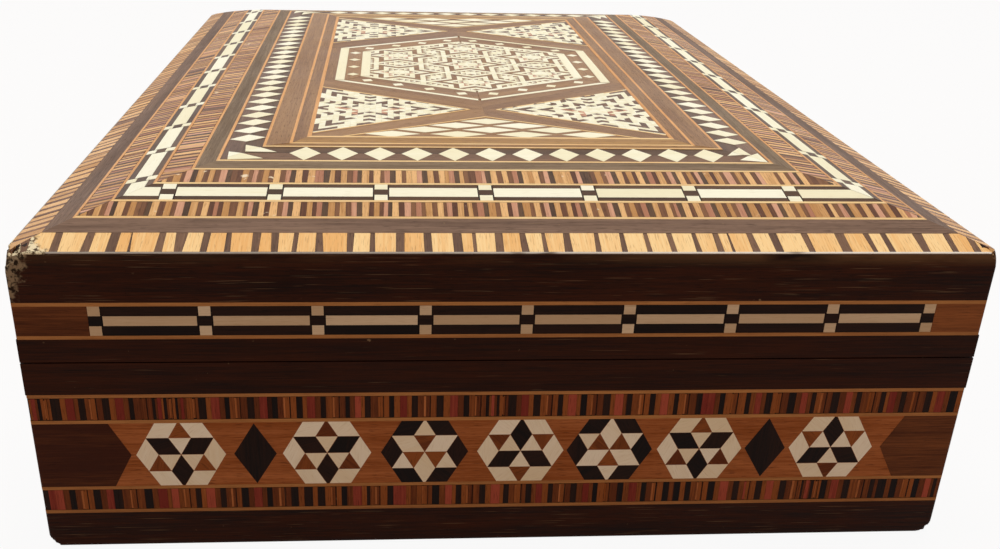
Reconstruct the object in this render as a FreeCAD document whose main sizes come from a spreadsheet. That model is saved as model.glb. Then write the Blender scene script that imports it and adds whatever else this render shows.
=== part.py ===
# Marquetry box: a low box with a pillow-topped lid, veneered with mitred bands of strip and rod mosaic.
# Millimetres. X runs across the short end, Y along the box, Z up. The origin is under the middle of the floor.
import FreeCAD, Part
import math
import os
import Sketcher

Vector = FreeCAD.Vector
Rotation = FreeCAD.Rotation
Placement = FreeCAD.Placement

doc = FreeCAD.newDocument("MarquetryBox")
sheet = doc.addObject("Spreadsheet::Sheet", "Sizes")

SIZES = {
    # overall
    "width": 140.0, "length": 196.0, "base_top": 31.8, "parting": 31.9, "lid_bottom": 32.0,
    "rim": 48.7, "crown": 6.0, "swell": 37.3,
    # carcass boards
    "veneer": 1.0, "board": 6.0, "lap": 3.0, "floor_thick": 3.0, "lid_board_foot": 43.7, "step": 1.5,
    "lining": 1.0, "lining_drop": 1.0,
    # base bands, from the foot up
    "foot_band": 6.2, "line": 0.55, "stripe_low": 3.65, "hex_band": 10.9, "stripe_high": 3.75,
    "hex_round": 6.9, "hex_pitch": 14.3, "hex_gap_pitch": 20.8, "loz_half": 3.2, "loz_tall": 5.3,
    "short_shift": 1.3, "short_tip": 57.5, "short_shoulder": 59.7, "long_tip": 86.0, "long_shoulder": 88.2,
    # lid side bands, from the parting up
    "lid_low": 3.6, "chain_band": 4.55, "chain_shift": 1.9, "chain_short": 61.9, "chain_long": 90.2,
    # lid top bands, from the rim inwards
    "top_line": 0.5, "panel_line": 0.7, "rim_band": 4.35, "dark_outer": 3.4, "stripe_outer": 3.85,
    "top_chain": 4.7, "stripe_inner": 4.4, "dark_middle": 2.85, "diamond_band": 6.05, "inner_side": 3.7,
    "inner_end": 1.3, "frame_side": 2.1, "frame_end": 3.3,
    # middle panel, measured from the middle of the lid
    "panel_half": 30.4, "panel_long": 59.6, "cross_at": 40.2, "star_half": 17.2, "star_apex": 2.6,
    "rhomb_half": 25.4, "rhomb_apex": 45.6, "medal_half": 28.3, "medal_point": 33.6, "medal_side": 17.0,
    "border": 7.0, "border_run": 8.1, "border_side": 4.0,
    # hinges
    "hinge_out": 0.5, "barrel": 1.1, "pin": 0.55, "pin_play": 0.05, "leaf_length": 20.0, "leaf_reach": 5.8,
    "leaf_thick": 0.7, "knuckle": 8.0, "knuckle_gap": 0.1, "relief": 0.3, "hinge_at": 55.0,
    "heel_reach": 1.5, "heel_drop": 0.28,
    "screw": 0.6, "screw_length": 6.0, "head": 1.2, "head_depth": 0.6, "screw_spread": 6.5, "screw_back": 3.6,
    "slot_wide": 0.3, "slot_deep": 0.3,
}

for row, (alias, number) in enumerate(SIZES.items(), start=1):
    sheet.set(f"A{row}", alias)
    sheet.set(f"B{row}", str(number))
    sheet.setAlias(f"B{row}", alias)
doc.recompute()


def cell(text):
    """Prefix every alias in an expression with the sheet's name."""
    words = []
    word = ""
    for letter in text + " ":
        if letter.isalnum() or letter == "_" or (letter == "." and word and not word[0].isalpha()):
            word += letter
            continue
        if word:
            words.append(f"Sizes.{word}" if word in SIZES else word)
        word = ""
        words.append(letter)
    return "".join(words).strip()


NODES = []
PIECES = {}


def node(thing, label, pieces=1):
    """Give a finished sub-part its label and list it for writing, with the number of loose pieces it holds."""
    thing.Label = label
    NODES.append(thing)
    PIECES[label] = pieces
    return thing


def bind(thing, **sizes):
    """Bind properties to sheet expressions."""
    for name, text in sizes.items():
        thing.setExpression(name, cell(text))
    return thing


def place(thing, x="0", y="0", z="0", turn=None):
    """Place a sub-part with its base point bound to the sheet."""
    thing.Placement = Placement(Vector(0, 0, 0), turn or Rotation())
    thing.setExpression("Placement.Base.x", cell(x))
    thing.setExpression("Placement.Base.y", cell(y))
    thing.setExpression("Placement.Base.z", cell(z))
    return thing


def box(name, low, high):
    """Box between two corners given as expressions."""
    thing = doc.addObject("Part::Box", name)
    bind(thing, Length=f"({high[0]})-({low[0]})", Width=f"({high[1]})-({low[1]})",
         Height=f"({high[2]})-({low[2]})")
    return place(thing, *low)


def join(kind, name, things):
    """Fuse, intersect or collect a list of shapes."""
    thing = doc.addObject(kind, name)
    if kind == "Part::Compound":
        thing.Links = things
    else:
        thing.Shapes = things
    return thing


def fuse(name, things):
    """One shape from several."""
    return join("Part::MultiFuse", name, things)


def collect(name, things):
    """Several loose shapes kept as one sub-part."""
    return join("Part::Compound", name, things)


def cut(name, base, tool):
    """Base minus tool."""
    thing = doc.addObject("Part::Cut", name)
    thing.Base = base
    thing.Tool = tool
    return thing


def common(name, base, tool):
    """What base and tool share."""
    thing = doc.addObject("Part::Common", name)
    thing.Base = base
    thing.Tool = tool
    return thing


# The four sides: turn about Z, and the point of the side's left end seen from outside.
SIDES = {
    "front": (0, "-width/2", "-length/2", "width"),
    "right": (90, "width/2", "-length/2", "length"),
    "back": (180, "width/2", "length/2", "width"),
    "left": (-90, "-width/2", "length/2", "length"),
}
UPRIGHT = Rotation(Vector(1, 0, 0), -90)


def spin(angle):
    """Turn about the upright axis."""
    return Rotation(Vector(0, 0, 1), angle)


def ring(name, start, end, low, high):
    """Four mitred strips between two rectangles.

    start and end are (side, end) distances in from the outer faces, low and high are heights.
    """
    strips = []
    side_from, end_from = start
    side_to, end_to = end
    for side, (angle, _, _, _) in SIDES.items():
        strip = doc.addObject("Part::Wedge", f"{name}_{side}")
        if side in ("front", "back"):
            outer, inner, depth = f"width/2-({side_from})", f"width/2-({side_to})", f"({end_to})-({end_from})"
            sign = "-" if side == "front" else ""
            spot = ("0", f"{sign}(length/2-({end_from}))")
        else:
            outer, inner, depth = f"length/2-({end_from})", f"length/2-({end_to})", f"({side_to})-({side_from})"
            sign = "-" if side == "left" else ""
            spot = (f"{sign}(width/2-({side_from}))", "0")
        bind(strip, Xmin=f"-({outer})", Xmax=outer, X2min=f"-({inner})", X2max=inner, Ymin="0", Ymax=depth,
             Zmin=low, Zmax=high, Z2min=low, Z2max=high)
        strips.append(place(strip, *spot, turn=spin(angle)))
    return strips


def plane_of(body, role):
    """One of a body's own origin planes."""
    return next(f for f in body.Origin.OriginFeatures if f.Role == role)


def new_sketch(body, role):
    """Empty sketch on one of a body's origin planes."""
    sketch = body.newObject("Sketcher::SketchObject", body.Name + "_sketch")
    sketch.AttachmentSupport = [(plane_of(body, role), "")]
    sketch.MapMode = "FlatFace"
    return sketch


def value(text):
    """Number that an expression has in the sheet now."""
    return float(sheet.evalExpression(cell(text)))


def loops(body, role, outlines):
    """Sketch closed outlines whose corners are bound to expressions of positive distances."""
    sketch = new_sketch(body, role)
    for outline in outlines:
        corners = [Vector(value(u), value(v), 0) for u, v in outline]
        first = sketch.GeometryCount
        count = len(corners)
        for i in range(count):
            sketch.addGeometry(Part.LineSegment(corners[i], corners[(i + 1) % count]), False)
        for i in range(count):
            sketch.addConstraint(Sketcher.Constraint("Coincident", first + i, 2, first + (i + 1) % count, 1))
        for i, (u, v) in enumerate(outline):
            for kind, text in (("DistanceX", u), ("DistanceY", v)):
                index = sketch.addConstraint(Sketcher.Constraint(kind, -1, 1, first + i, 1, value(text)))
                sketch.setExpression(f"Constraints[{index}]", cell(text))
    return sketch


def pad(body, sketch, length, inward=False, both=False):
    """Raise a sketch into a solid."""
    feature = body.newObject("PartDesign::Pad", body.Name + "_pad")
    feature.Profile = sketch
    bind(feature, Length=length)
    feature.Reversed = inward
    if both:
        feature.SideType = "Symmetric"
    body.Tip = feature
    return body


def face_pieces(name, side, outlines):
    """Veneer pieces let into one upright face; corners are (distance from the left end, height)."""
    angle, x, y, _ = SIDES[side]
    body = doc.addObject("PartDesign::Body", name)
    pad(body, loops(body, "XZ_Plane", outlines), "veneer", inward=True)
    return place(body, x, y, "0", spin(angle))


def panel_pieces(name, outlines):
    """Veneer pieces in the flat middle of the lid; corners are distances from the lid's middle."""
    moved = [[(f"width/2+({u})", f"length/2+({v})") for u, v in outline] for outline in outlines]
    body = doc.addObject("PartDesign::Body", name)
    pad(body, loops(body, "XY_Plane", moved), "veneer")
    return place(body, "-width/2", "-length/2", "rim+crown-veneer")


# Carcass of the base

def walls(prefix, low, high):
    """Two long walls with end rebates and two end walls held in the rebates."""
    inside = "width/2-veneer-board"
    outside = "width/2-veneer"
    end_out = "length/2-veneer"
    end_in = "length/2-veneer-board"
    built = {}
    for side, sign in (("left", "-"), ("right", "")):
        near, far = (f"-({outside})", f"-({inside})") if sign else (inside, outside)
        plank = box(f"{prefix}_{side}_plank", (near, f"-({end_out})", low), (far, end_out, high))
        lap_near = f"-({outside}-lap)" if sign else inside
        lap_far = f"-({inside})" if sign else f"{outside}-lap"
        laps = [
            box(f"{prefix}_{side}_lap_front", (lap_near, f"-({end_out})", low), (lap_far, f"-({end_in})", high)),
            box(f"{prefix}_{side}_lap_back", (lap_near, end_in, low), (lap_far, end_out, high)),
        ]
        built[side] = cut(f"{prefix}_{side}_lapped", plank, collect(f"{prefix}_{side}_laps", laps))
    reach = f"{outside}-lap"
    built["front"] = box(f"{prefix}_front_plank", (f"-({reach})", f"-({end_out})", low), (reach, f"-({end_in})", high))
    built["back"] = box(f"{prefix}_back_plank", (f"-({reach})", end_in, low), (reach, end_out, high))
    return built


floor_x = "width/2-veneer-lap"
floor_y = "length/2-veneer-lap"
FLOOR = ((f"-({floor_x})", f"-({floor_y})", "0"), (floor_x, floor_y, "floor_thick"))

# Hinge geometry: the axis lies in the parting, just outside the right face, so that the lid swings clear.
axis_x = "width/2+hinge_out"
HINGES = {"near": "-hinge_at", "far": "hinge_at"}


def rod(name, radius, length, x, y, z, turn=UPRIGHT):
    """Round rod, along Y unless turned otherwise."""
    thing = bind(doc.addObject("Part::Cylinder", name), Radius=radius, Height=length)
    return place(thing, x, y, z, turn)


def screws(prefix, surface, up):
    """Countersunk screw blanks of both hinges on one leaf; up is True where they drive upwards."""
    turn = Rotation(Vector(1, 0, 0), 0 if up else 180)
    blanks = []
    for hinge, middle in HINGES.items():
        for k, step in enumerate(("-screw_spread", "+screw_spread")):
            spot = (f"{axis_x}-screw_back", f"{middle}{step}", surface)
            head = doc.addObject("Part::Cone", f"{prefix}_head_{hinge}_{k}")
            bind(head, Radius1="head", Radius2="screw", Height="head_depth")
            place(head, *spot, turn=turn)
            shank = rod(f"{prefix}_shank_{hinge}_{k}", "screw", "screw_length", *spot, turn=turn)
            blanks.append(fuse(f"{prefix}_blank_{hinge}_{k}", [head, shank]))
    return blanks


base_screw_blanks = screws("base_screw", "base_top", up=False)
lid_screw_blanks = screws("lid_screw", "lid_bottom", up=True)


def hinge_room(prefix, low, high, screw_blanks):
    """What the right wall and its veneer give up to the hinges: mortises, barrel relief and screw holes."""
    room = []
    for hinge, middle in HINGES.items():
        room.append(box(f"{prefix}_mortise_{hinge}", (f"{axis_x}-leaf_reach", f"{middle}-leaf_length/2", low),
                        (axis_x, f"{middle}+leaf_length/2", high)))
        room.append(rod(f"{prefix}_relief_{hinge}", "barrel+relief", "leaf_length+2*relief", axis_x,
                        f"{middle}-leaf_length/2-relief", "parting"))
    return fuse(f"{prefix}_room", room + screw_blanks)


base_room = hinge_room("base", "base_top-leaf_thick", "base_top+1", base_screw_blanks)
lid_room = hinge_room("lid", "lid_bottom-1", "lid_bottom+leaf_thick", lid_screw_blanks)


base_walls = walls("base", "0", "base_top")
for side, wall in base_walls.items():
    rebate = box(f"floor_rebate_{side}", *FLOOR)
    wall = cut(f"base_{side}_rebated", wall, rebate)
    if side == "right":
        wall = cut("base_right_hinged", wall, base_room)
    node(wall, f"base_wall_{side}")
node(box("floor_plank", *FLOOR), "base_floor")

# Veneer of the base: bands from the foot up, each of four mitred strips

SKIN = ("0", "0"), ("veneer", "veneer")
levels = ["0"]
for band in ("foot_band", "line", "stripe_low", "line", "hex_band", "line", "stripe_high", "line"):
    levels.append(f"{levels[-1]}+{band}")

node(collect("foot_strips", ring("foot", *SKIN, levels[0], levels[1])), "base_foot_band", 4)
base_lines = []
for k in (1, 3, 5, 7):
    base_lines += ring(f"base_line_{k}", *SKIN, levels[k], levels[k + 1])
node(collect("base_line_strips", base_lines), "base_stringing", 16)
node(collect("stripe_low_strips", ring("stripe_low", *SKIN, levels[2], levels[3])), "base_stripe_lower", 4)
node(collect("stripe_high_strips", ring("stripe_high", *SKIN, levels[6], levels[7])), "base_stripe_upper", 4)
edge_strips = collect("edge_strips", ring("edge", *SKIN, levels[8], "base_top"))
node(cut("edge_mortised", edge_strips, base_room), "base_edge_band", 4)

# Hexagon band: a field with let-in hexagons, trimmed by the band, and lozenges, and a plain blank at each corner
hex_low, hex_high = levels[4], levels[5]
hex_strips = dict(zip(SIDES, ring("hexes", *SKIN, hex_low, hex_high)))
hex_mid = f"{hex_low}+hex_band/2"
HEX_STEPS = {
    "short": ["-hex_pitch*2-hex_gap_pitch", "-hex_pitch*2", "-hex_pitch", "0", "hex_pitch", "hex_pitch*2",
              "hex_pitch*2+hex_gap_pitch"],
    "long": ["-hex_pitch*4-hex_gap_pitch", "-hex_pitch*3-hex_gap_pitch", "-hex_pitch*3", "-hex_pitch*2", "-hex_pitch",
             "0", "hex_pitch", "hex_pitch*2", "hex_pitch*3", "hex_pitch*3+hex_gap_pitch", "hex_pitch*4+hex_gap_pitch"],
}
LOZ_STEPS = {
    "short": ["-hex_pitch*2-hex_gap_pitch/2", "hex_pitch*2+hex_gap_pitch/2"],
    "long": ["-hex_pitch*3-hex_gap_pitch/2", "hex_pitch*3+hex_gap_pitch/2"],
}
field_slabs = []
hexagons = []
lozenges = []
for side, (angle, _, _, span) in SIDES.items():
    kind = "short" if span == "width" else "long"
    shift = "short_shift" if kind == "short" else "0"
    tip, shoulder = f"{kind}_tip", f"{kind}_shoulder"
    middle = f"{span}/2+{shift}"
    field_slabs.append(face_pieces(f"field_{side}", side, [[
        (f"{middle}-{shoulder}", hex_low), (f"{middle}+{shoulder}", hex_low), (f"{middle}+{tip}", hex_mid),
        (f"{middle}+{shoulder}", hex_high), (f"{middle}-{shoulder}", hex_high), (f"{middle}-{tip}", hex_mid)]]))
    lozenges.append(face_pieces(f"lozenges_{side}", side, [[
        (f"{middle}+({step})-loz_half", hex_mid), (f"{middle}+({step})", f"{hex_mid}-loz_tall"),
        (f"{middle}+({step})+loz_half", hex_mid), (f"{middle}+({step})", f"{hex_mid}+loz_tall")]
        for step in LOZ_STEPS[kind]]))
    prisms = []
    for k, step in enumerate(HEX_STEPS[kind]):
        prism = doc.addObject("Part::Prism", f"hexagon_{side}_{k}")
        prism.Polygon = 6
        bind(prism, Circumradius="hex_round", Height="veneer")
        along = f"({shift})+({step})"
        spot = {"front": (along, "-length/2"), "back": (f"-({along})", "length/2"),
                "right": ("width/2", along), "left": ("-width/2", f"-({along})")}[side]
        prisms.append(place(prism, *spot, hex_mid, turn=spin(angle).multiply(UPRIGHT)))
    hexagons.append(common(f"hexagons_{side}", collect(f"prisms_{side}", prisms), hex_strips[side]))
hex_count = 2 * sum(len(steps) for steps in HEX_STEPS.values())
hexagon_tiles = node(collect("hexagon_set", hexagons), "base_hexagon_tiles", hex_count)
lozenge_tiles = node(collect("lozenge_set", lozenges), "base_lozenges", 8)
field_set = collect("field_set", field_slabs)
inlay_set = collect("inlay_set", hexagons + lozenges)
node(cut("field_holed", field_set, inlay_set), "base_hexagon_field", hex_count + 4)
hex_ring = collect("hex_ring", list(hex_strips.values()))
node(cut("hex_ring_ends", hex_ring, field_set), "base_end_blanks", 8)

# Carcass and side veneer of the lid

lid_walls = walls("lid", "lid_bottom", "lid_board_foot")
lid_walls["right"] = cut("lid_right_hinged", lid_walls["right"], lid_room)
for side, wall in lid_walls.items():
    node(wall, f"lid_wall_{side}")


def swelling(name, role, across, along, drop):
    """Long bar whose section swells from the rim to the flat middle on two tangent arcs."""
    body = doc.addObject("PartDesign::Body", name)
    sketch = new_sketch(body, role)
    half = value(across) / 2
    foot = value(f"rim-9-{drop}")
    side = value(f"rim-{drop}")
    top = value(f"rim+crown-{drop}")
    swell = value("swell")
    radius = (swell ** 2 + value("crown") ** 2) / (2 * value("crown"))
    start = math.acos(swell / radius)
    up = Vector(0, 0, 1)
    right_arc = Part.ArcOfCircle(Part.Circle(Vector(half - swell, top - radius, 0), up, radius), start, math.pi / 2)
    left_arc = Part.ArcOfCircle(Part.Circle(Vector(swell - half, top - radius, 0), up, radius), math.pi / 2,
                                math.pi - start)
    sketch.addGeometry(Part.LineSegment(Vector(-half, foot, 0), Vector(half, foot, 0)), False)
    sketch.addGeometry(Part.LineSegment(Vector(half, foot, 0), Vector(half, side, 0)), False)
    sketch.addGeometry(right_arc, False)
    sketch.addGeometry(Part.LineSegment(Vector(half - swell, top, 0), Vector(swell - half, top, 0)), False)
    sketch.addGeometry(left_arc, False)
    sketch.addGeometry(Part.LineSegment(Vector(-half, side, 0), Vector(-half, foot, 0)), False)
    for rule in (("Coincident", 0, 2, 1, 1), ("Coincident", 1, 2, 2, 1), ("Tangent", 2, 2, 3, 1),
                 ("Tangent", 3, 2, 4, 1), ("Coincident", 4, 2, 5, 1), ("Coincident", 5, 2, 0, 1),
                 ("Vertical", 1), ("Vertical", 5), ("Symmetric", 0, 1, 0, 2, -2), ("Symmetric", 3, 2, 3, 1, -2),
                 ("Equal", 1, 5)):
        sketch.addConstraint(Sketcher.Constraint(*rule))
    for rule, text in ((("DistanceX", 0, 1, 0, 2), across), (("DistanceX", 3, 2, 3, 1), f"{across}-2*swell"),
                       (("DistanceY", -1, 1, 0, 1), f"rim-9-{drop}"), (("DistanceY", -1, 1, 1, 2), f"rim-{drop}"),
                       (("DistanceY", -1, 1, 3, 1), f"rim+crown-{drop}")):
        index = sketch.addConstraint(Sketcher.Constraint(*rule, value(text)))
        sketch.setExpression(f"Constraints[{index}]", cell(text))
    return pad(body, sketch, along, both=True)


# The pillow is where a bar across and a bar along meet, creased on the mitre lines. The skin of each bar
# serves the two strips that run along it.
outer_across = swelling("outer_across", "XZ_Plane", "width", "length", "0")
outer_along = swelling("outer_along", "YZ_Plane", "length", "width", "0")
inner_across = swelling("inner_across", "XZ_Plane", "width", "length", "veneer")
inner_along = swelling("inner_along", "YZ_Plane", "length", "width", "veneer")
inner_pillow = common("inner_pillow", inner_across, inner_along)
skin_across = cut("skin_across", outer_across, inner_across)
skin_along = cut("skin_along", outer_along, inner_along)


def fitted(strips, across, along):
    """Cut long-side strips from the bar across and end strips from the bar along."""
    made = []
    for strip in strips:
        whole = along if strip.Name.endswith(("_front", "_back")) else across
        made.append(common(strip.Name + "_fitted", whole, strip))
    return made


board_x, board_y = "width/2-veneer", "length/2-veneer"
board_blank = box("board_blank", (f"-({board_x})", f"-({board_y})", "lid_board_foot"), (board_x, board_y, "rim+crown"))
board_top = common("board_top", inner_pillow, board_blank)
in_x, in_y = "width/2-veneer-board", "length/2-veneer-board"
board_step = box("board_step", (f"-({in_x})", f"-({in_y})", "lid_board_foot-step"), (in_x, in_y, "lid_board_foot"))
node(fuse("board_whole", [board_top, board_step]), "lid_board")

lid_levels = ["lid_bottom"]
for band in ("lid_low", "line", "chain_band", "line"):
    lid_levels.append(f"{lid_levels[-1]}+{band}")
low_strips = collect("low_strips", ring("low", *SKIN, lid_levels[0], lid_levels[1]))
node(cut("low_mortised", low_strips, lid_room), "lid_low_band", 4)
lid_lines = ring("lid_line_1", *SKIN, lid_levels[1], lid_levels[2])
lid_lines += ring("lid_line_3", *SKIN, lid_levels[3], lid_levels[4])
node(collect("lid_line_strips", lid_lines), "lid_side_stringing", 8)

chains = []
for side, (_, _, _, span) in SIDES.items():
    kind, shift = ("short", "chain_shift") if span == "width" else ("long", "0")
    ends = [f"{span}/2+{shift}-chain_{kind}", f"{span}/2+{shift}+chain_{kind}"]
    chains.append(face_pieces(f"chain_{side}", side, [[
        (ends[0], lid_levels[2]), (ends[1], lid_levels[2]), (ends[1], lid_levels[3]), (ends[0], lid_levels[3])]]))
chain_set = node(collect("chain_set", chains), "lid_side_chain", 4)
chain_ring = collect("chain_ring", ring("chain_blank", *SKIN, lid_levels[2], lid_levels[3]))
node(cut("chain_ring_ends", chain_ring, chain_set), "lid_side_blanks", 8)
high_strips = ring("high", *SKIN, lid_levels[4], "rim+crown")
node(collect("high_set", fitted(high_strips, inner_across, inner_along)), "lid_high_band", 4)

# Veneer of the lid's top: bands from the rim inwards, all following the pillow

side_at, end_at = "0", "0"
top_lines = []


def top_ring(name, side_width, end_width=None):
    """Next band inwards: four mitred strips cut from the curved skin."""
    global side_at, end_at
    end_width = end_width or side_width
    side_to, end_to = f"{side_at}+{side_width}", f"{end_at}+{end_width}"
    strips = ring(name, (side_at, end_at), (side_to, end_to), "rim-2*veneer", "rim+crown+veneer")
    side_at, end_at = side_to, end_to
    return fitted(strips, skin_across, skin_along)


TOP_BANDS = [
    ("top_rim_blocks", "rim_band", None, False), ("top_dark_outer", "dark_outer", None, True),
    ("top_stripe_outer", "stripe_outer", None, True), ("top_chain", "top_chain", None, True),
    ("top_stripe_inner", "stripe_inner", None, True), ("top_dark_middle", "dark_middle", None, True),
    ("top_diamonds", "diamond_band", None, True), ("top_dark_inner", "inner_side", "inner_end", True),
    ("top_dark_frame", "frame_side", "frame_end", True),
]
for label, side_width, end_width, lined in TOP_BANDS:
    node(collect(f"{label}_set", top_ring(label + "_strip", side_width, end_width)), label, 4)
    if lined:
        top_lines += top_ring(label + "_line", "panel_line" if label == "top_dark_frame" else "top_line")
node(collect("top_line_set", top_lines), "top_stringing", len(top_lines))

# Flat middle panel: a dark crossed field, star and rhomb triangles, and a long hexagon medallion

stars = []
rhombs = []
for end in ("-", ""):
    for hand in ("-", ""):
        corner = [(f"{hand}star_apex", f"{end}cross_at"), (f"{hand}panel_half", f"{end}cross_at+star_half"),
                  (f"{hand}panel_half", f"{end}cross_at-star_half")]
        stars.append(corner)
    rhombs.append([("0", f"{end}rhomb_apex"), ("-rhomb_half", f"{end}panel_long"), ("rhomb_half", f"{end}panel_long")])


def medallion(side_in, point_in, corner_in):
    """Long hexagon, drawn in from the outer one at its sides, points and corners."""
    x = f"medal_half-({side_in})"
    y = f"medal_side-({corner_in})"
    point = f"medal_point-({point_in})"
    return [("0", f"-({point})"), (x, f"-({y})"), (x, y), ("0", point), (f"-({x})", y), (f"-({x})", f"-({y})")]


panel_rect = [("-panel_half", "-panel_long"), ("panel_half", "-panel_long"), ("panel_half", "panel_long"),
              ("-panel_half", "panel_long")]
panel_slab = panel_pieces("panel_slab", [panel_rect])
star_set = node(panel_pieces("star_set", stars), "panel_star_triangles", 4)
rhomb_set = node(panel_pieces("rhomb_set", rhombs), "panel_rhomb_triangles", 2)
medal_slab = panel_pieces("medal_slab", [medallion("0", "0", "0")])
medal_field = node(panel_pieces("medal_field", [medallion("border", "border_run", "border_side")]), "medallion_field")
node(cut("medal_ring", medal_slab, medal_field), "medallion_border")
inlays = collect("panel_inlays", [star_set, rhomb_set, medal_slab])
node(cut("panel_crossed", panel_slab, inlays), "panel_cross_field")

# Linings

low_z, high_z = "floor_thick+lining", "base_top-lining_drop"
thin_x, thin_y = f"{in_x}-lining", f"{in_y}-lining"
node(box("floor_pad", (f"-({in_x})", f"-({in_y})", "floor_thick"), (in_x, in_y, low_z)), "base_lining_floor")


def wall_linings(prefix, low, high):
    """Four thin covered cards against the walls."""
    return {
        "front": box(f"{prefix}_card_front", (f"-({thin_x})", f"-({in_y})", low), (thin_x, f"-({thin_y})", high)),
        "back": box(f"{prefix}_card_back", (f"-({thin_x})", thin_y, low), (thin_x, in_y, high)),
        "left": box(f"{prefix}_card_left", (f"-({in_x})", f"-({in_y})", low), (f"-({thin_x})", in_y, high)),
        "right": box(f"{prefix}_card_right", (thin_x, f"-({in_y})", low), (in_x, in_y, high)),
    }


for side, card in wall_linings("base", low_z, high_z).items():
    node(card, f"base_lining_{side}")
lid_pad_top = "lid_board_foot-step"
lid_pad_low = "lid_board_foot-step-lining"
node(box("lid_pad", (f"-({in_x})", f"-({in_y})", lid_pad_low), (in_x, in_y, lid_pad_top)), "lid_lining_top")
lid_cards = wall_linings("lid", "lid_bottom+lining_drop", lid_pad_low)
node(collect("lid_card_set", list(lid_cards.values())), "lid_lining_sides", 4)

# Hinges


def leaf(hinge, part):
    """Leaf with its knuckles: two outer knuckles on the base, the middle one on the lid.

    The lid's knuckle has a heel that comes to rest against the base when the lid stands open.
    """
    middle = HINGES[hinge]
    name = f"{hinge}_{part}"
    start, stop = f"{middle}-leaf_length/2", f"{middle}+leaf_length/2"
    inner_low, inner_high = f"{middle}-knuckle/2", f"{middle}+knuckle/2"
    clear = f"{axis_x}-barrel-relief"
    if part == "base":
        low, high = "base_top-leaf_thick", "base_top"
        gaps = [(inner_low, inner_high)]
        knuckles = [(start, "(leaf_length-knuckle)/2"), (inner_high, "(leaf_length-knuckle)/2")]
        bore, blanks = "pin", base_screw_blanks
    else:
        low, high = "lid_bottom", "lid_bottom+leaf_thick"
        gaps = [(f"{start}-1", f"{inner_low}+knuckle_gap"), (f"{inner_high}-knuckle_gap", f"{stop}+1")]
        knuckles = [(f"{inner_low}+knuckle_gap", "knuckle-2*knuckle_gap")]
        bore, blanks = "pin+pin_play", lid_screw_blanks
    plate = box(f"{name}_plate", (f"{axis_x}-leaf_reach", start, low), (axis_x, stop, high))
    rooms = [box(f"{name}_gap_{k}", (clear, a, f"{low}-1"), (f"{axis_x}+1", b, f"{high}+1"))
             for k, (a, b) in enumerate(gaps)]
    notched = cut(f"{name}_notched", plate, collect(f"{name}_gaps", rooms))
    barrels = [rod(f"{name}_knuckle_{k}", "barrel", long, axis_x, at, "parting")
               for k, (at, long) in enumerate(knuckles)]
    if part == "lid":
        at, long = knuckles[0]
        barrels.append(box(f"{name}_heel", (axis_x, at, "parting-heel_drop"),
                           (f"{axis_x}+heel_reach", f"{at}+{long}", "parting-heel_drop+leaf_thick")))
    whole = fuse(f"{name}_whole", [notched] + barrels)
    hole = rod(f"{name}_bore", bore, "leaf_length+2", axis_x, f"{start}-1", "parting")
    mine = [blank for blank in blanks if f"_{hinge}_" in blank.Name]
    return cut(f"{name}_leaf", whole, collect(f"{name}_holes", [hole] + mine))


for hinge, middle in HINGES.items():
    node(leaf(hinge, "base"), f"hinge_{hinge}_base_leaf")
    node(leaf(hinge, "lid"), f"hinge_{hinge}_lid_leaf")
    pin = rod(f"{hinge}_pin_rod", "pin", "leaf_length", axis_x, f"{middle}-leaf_length/2", "parting")
    node(pin, f"hinge_{hinge}_pin")


def slotted(prefix, blanks, low, high):
    """Screws with a driver slot across each head."""
    finished = []
    for blank in blanks:
        middle = HINGES["near" if "_near_" in blank.Name else "far"]
        step = "-screw_spread" if blank.Name.endswith("_0") else "+screw_spread"
        x, y = f"{axis_x}-screw_back", f"{middle}{step}"
        slot = box(blank.Name + "_slot", (f"{x}-2*head", f"{y}-slot_wide/2", low),
                   (f"{x}+2*head", f"{y}+slot_wide/2", high))
        finished.append(cut(blank.Name + "_slotted", blank, slot))
    return collect(f"{prefix}_set", finished)


node(slotted("base_screws", base_screw_blanks, "base_top-slot_deep", "base_top+1"), "hinge_base_screws", 4)
node(slotted("lid_screws", lid_screw_blanks, "lid_bottom-1", "lid_bottom+slot_deep"), "hinge_lid_screws", 4)

doc.recompute()

# Checks before writing: no failed object, every shape whole, closed, and inside the outer box
faults = [thing.Name for thing in doc.Objects if {"Invalid", "Error"} & set(thing.State)]
half_x, half_y, top_z = SIZES["width"] / 2, SIZES["length"] / 2, SIZES["rim"] + SIZES["crown"]
proud = SIZES["hinge_out"] + SIZES["heel_reach"]
for thing in NODES:
    shape = thing.Shape
    if shape.isNull() or not shape.isValid() or shape.Volume <= 0:
        faults.append(thing.Label)
        continue
    if len(shape.Solids) != PIECES[thing.Label]:
        faults.append(f"{thing.Label} has {len(shape.Solids)} pieces")
    room = shape.BoundBox
    right = half_x + (proud if thing.Label.startswith("hinge_") else 0)
    if room.XMin < -half_x - 0.01 or room.XMax > right + 0.01 or max(-room.YMin, room.YMax) > half_y + 0.01:
        faults.append(thing.Label + " is outside the sides")
    if room.ZMin < -0.01 or room.ZMax > top_z + 0.01:
        faults.append(thing.Label + " is outside the height")
if faults:
    raise RuntimeError("failed: " + ", ".join(faults))

os.makedirs("parts", exist_ok=True)
for thing in NODES:
    thing.Shape.exportStep(f"parts/{thing.Label}.step")
    print(f"{thing.Label:26s} solids {len(thing.Shape.Solids):3d} volume {thing.Shape.Volume:10.2f}")
print(len(NODES), "nodes")
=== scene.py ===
import logging
import math
from collections.abc import Callable, Sequence
from dataclasses import dataclass, field
from enum import Enum

import bpy
import numpy as np
from mathutils import Matrix


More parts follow.
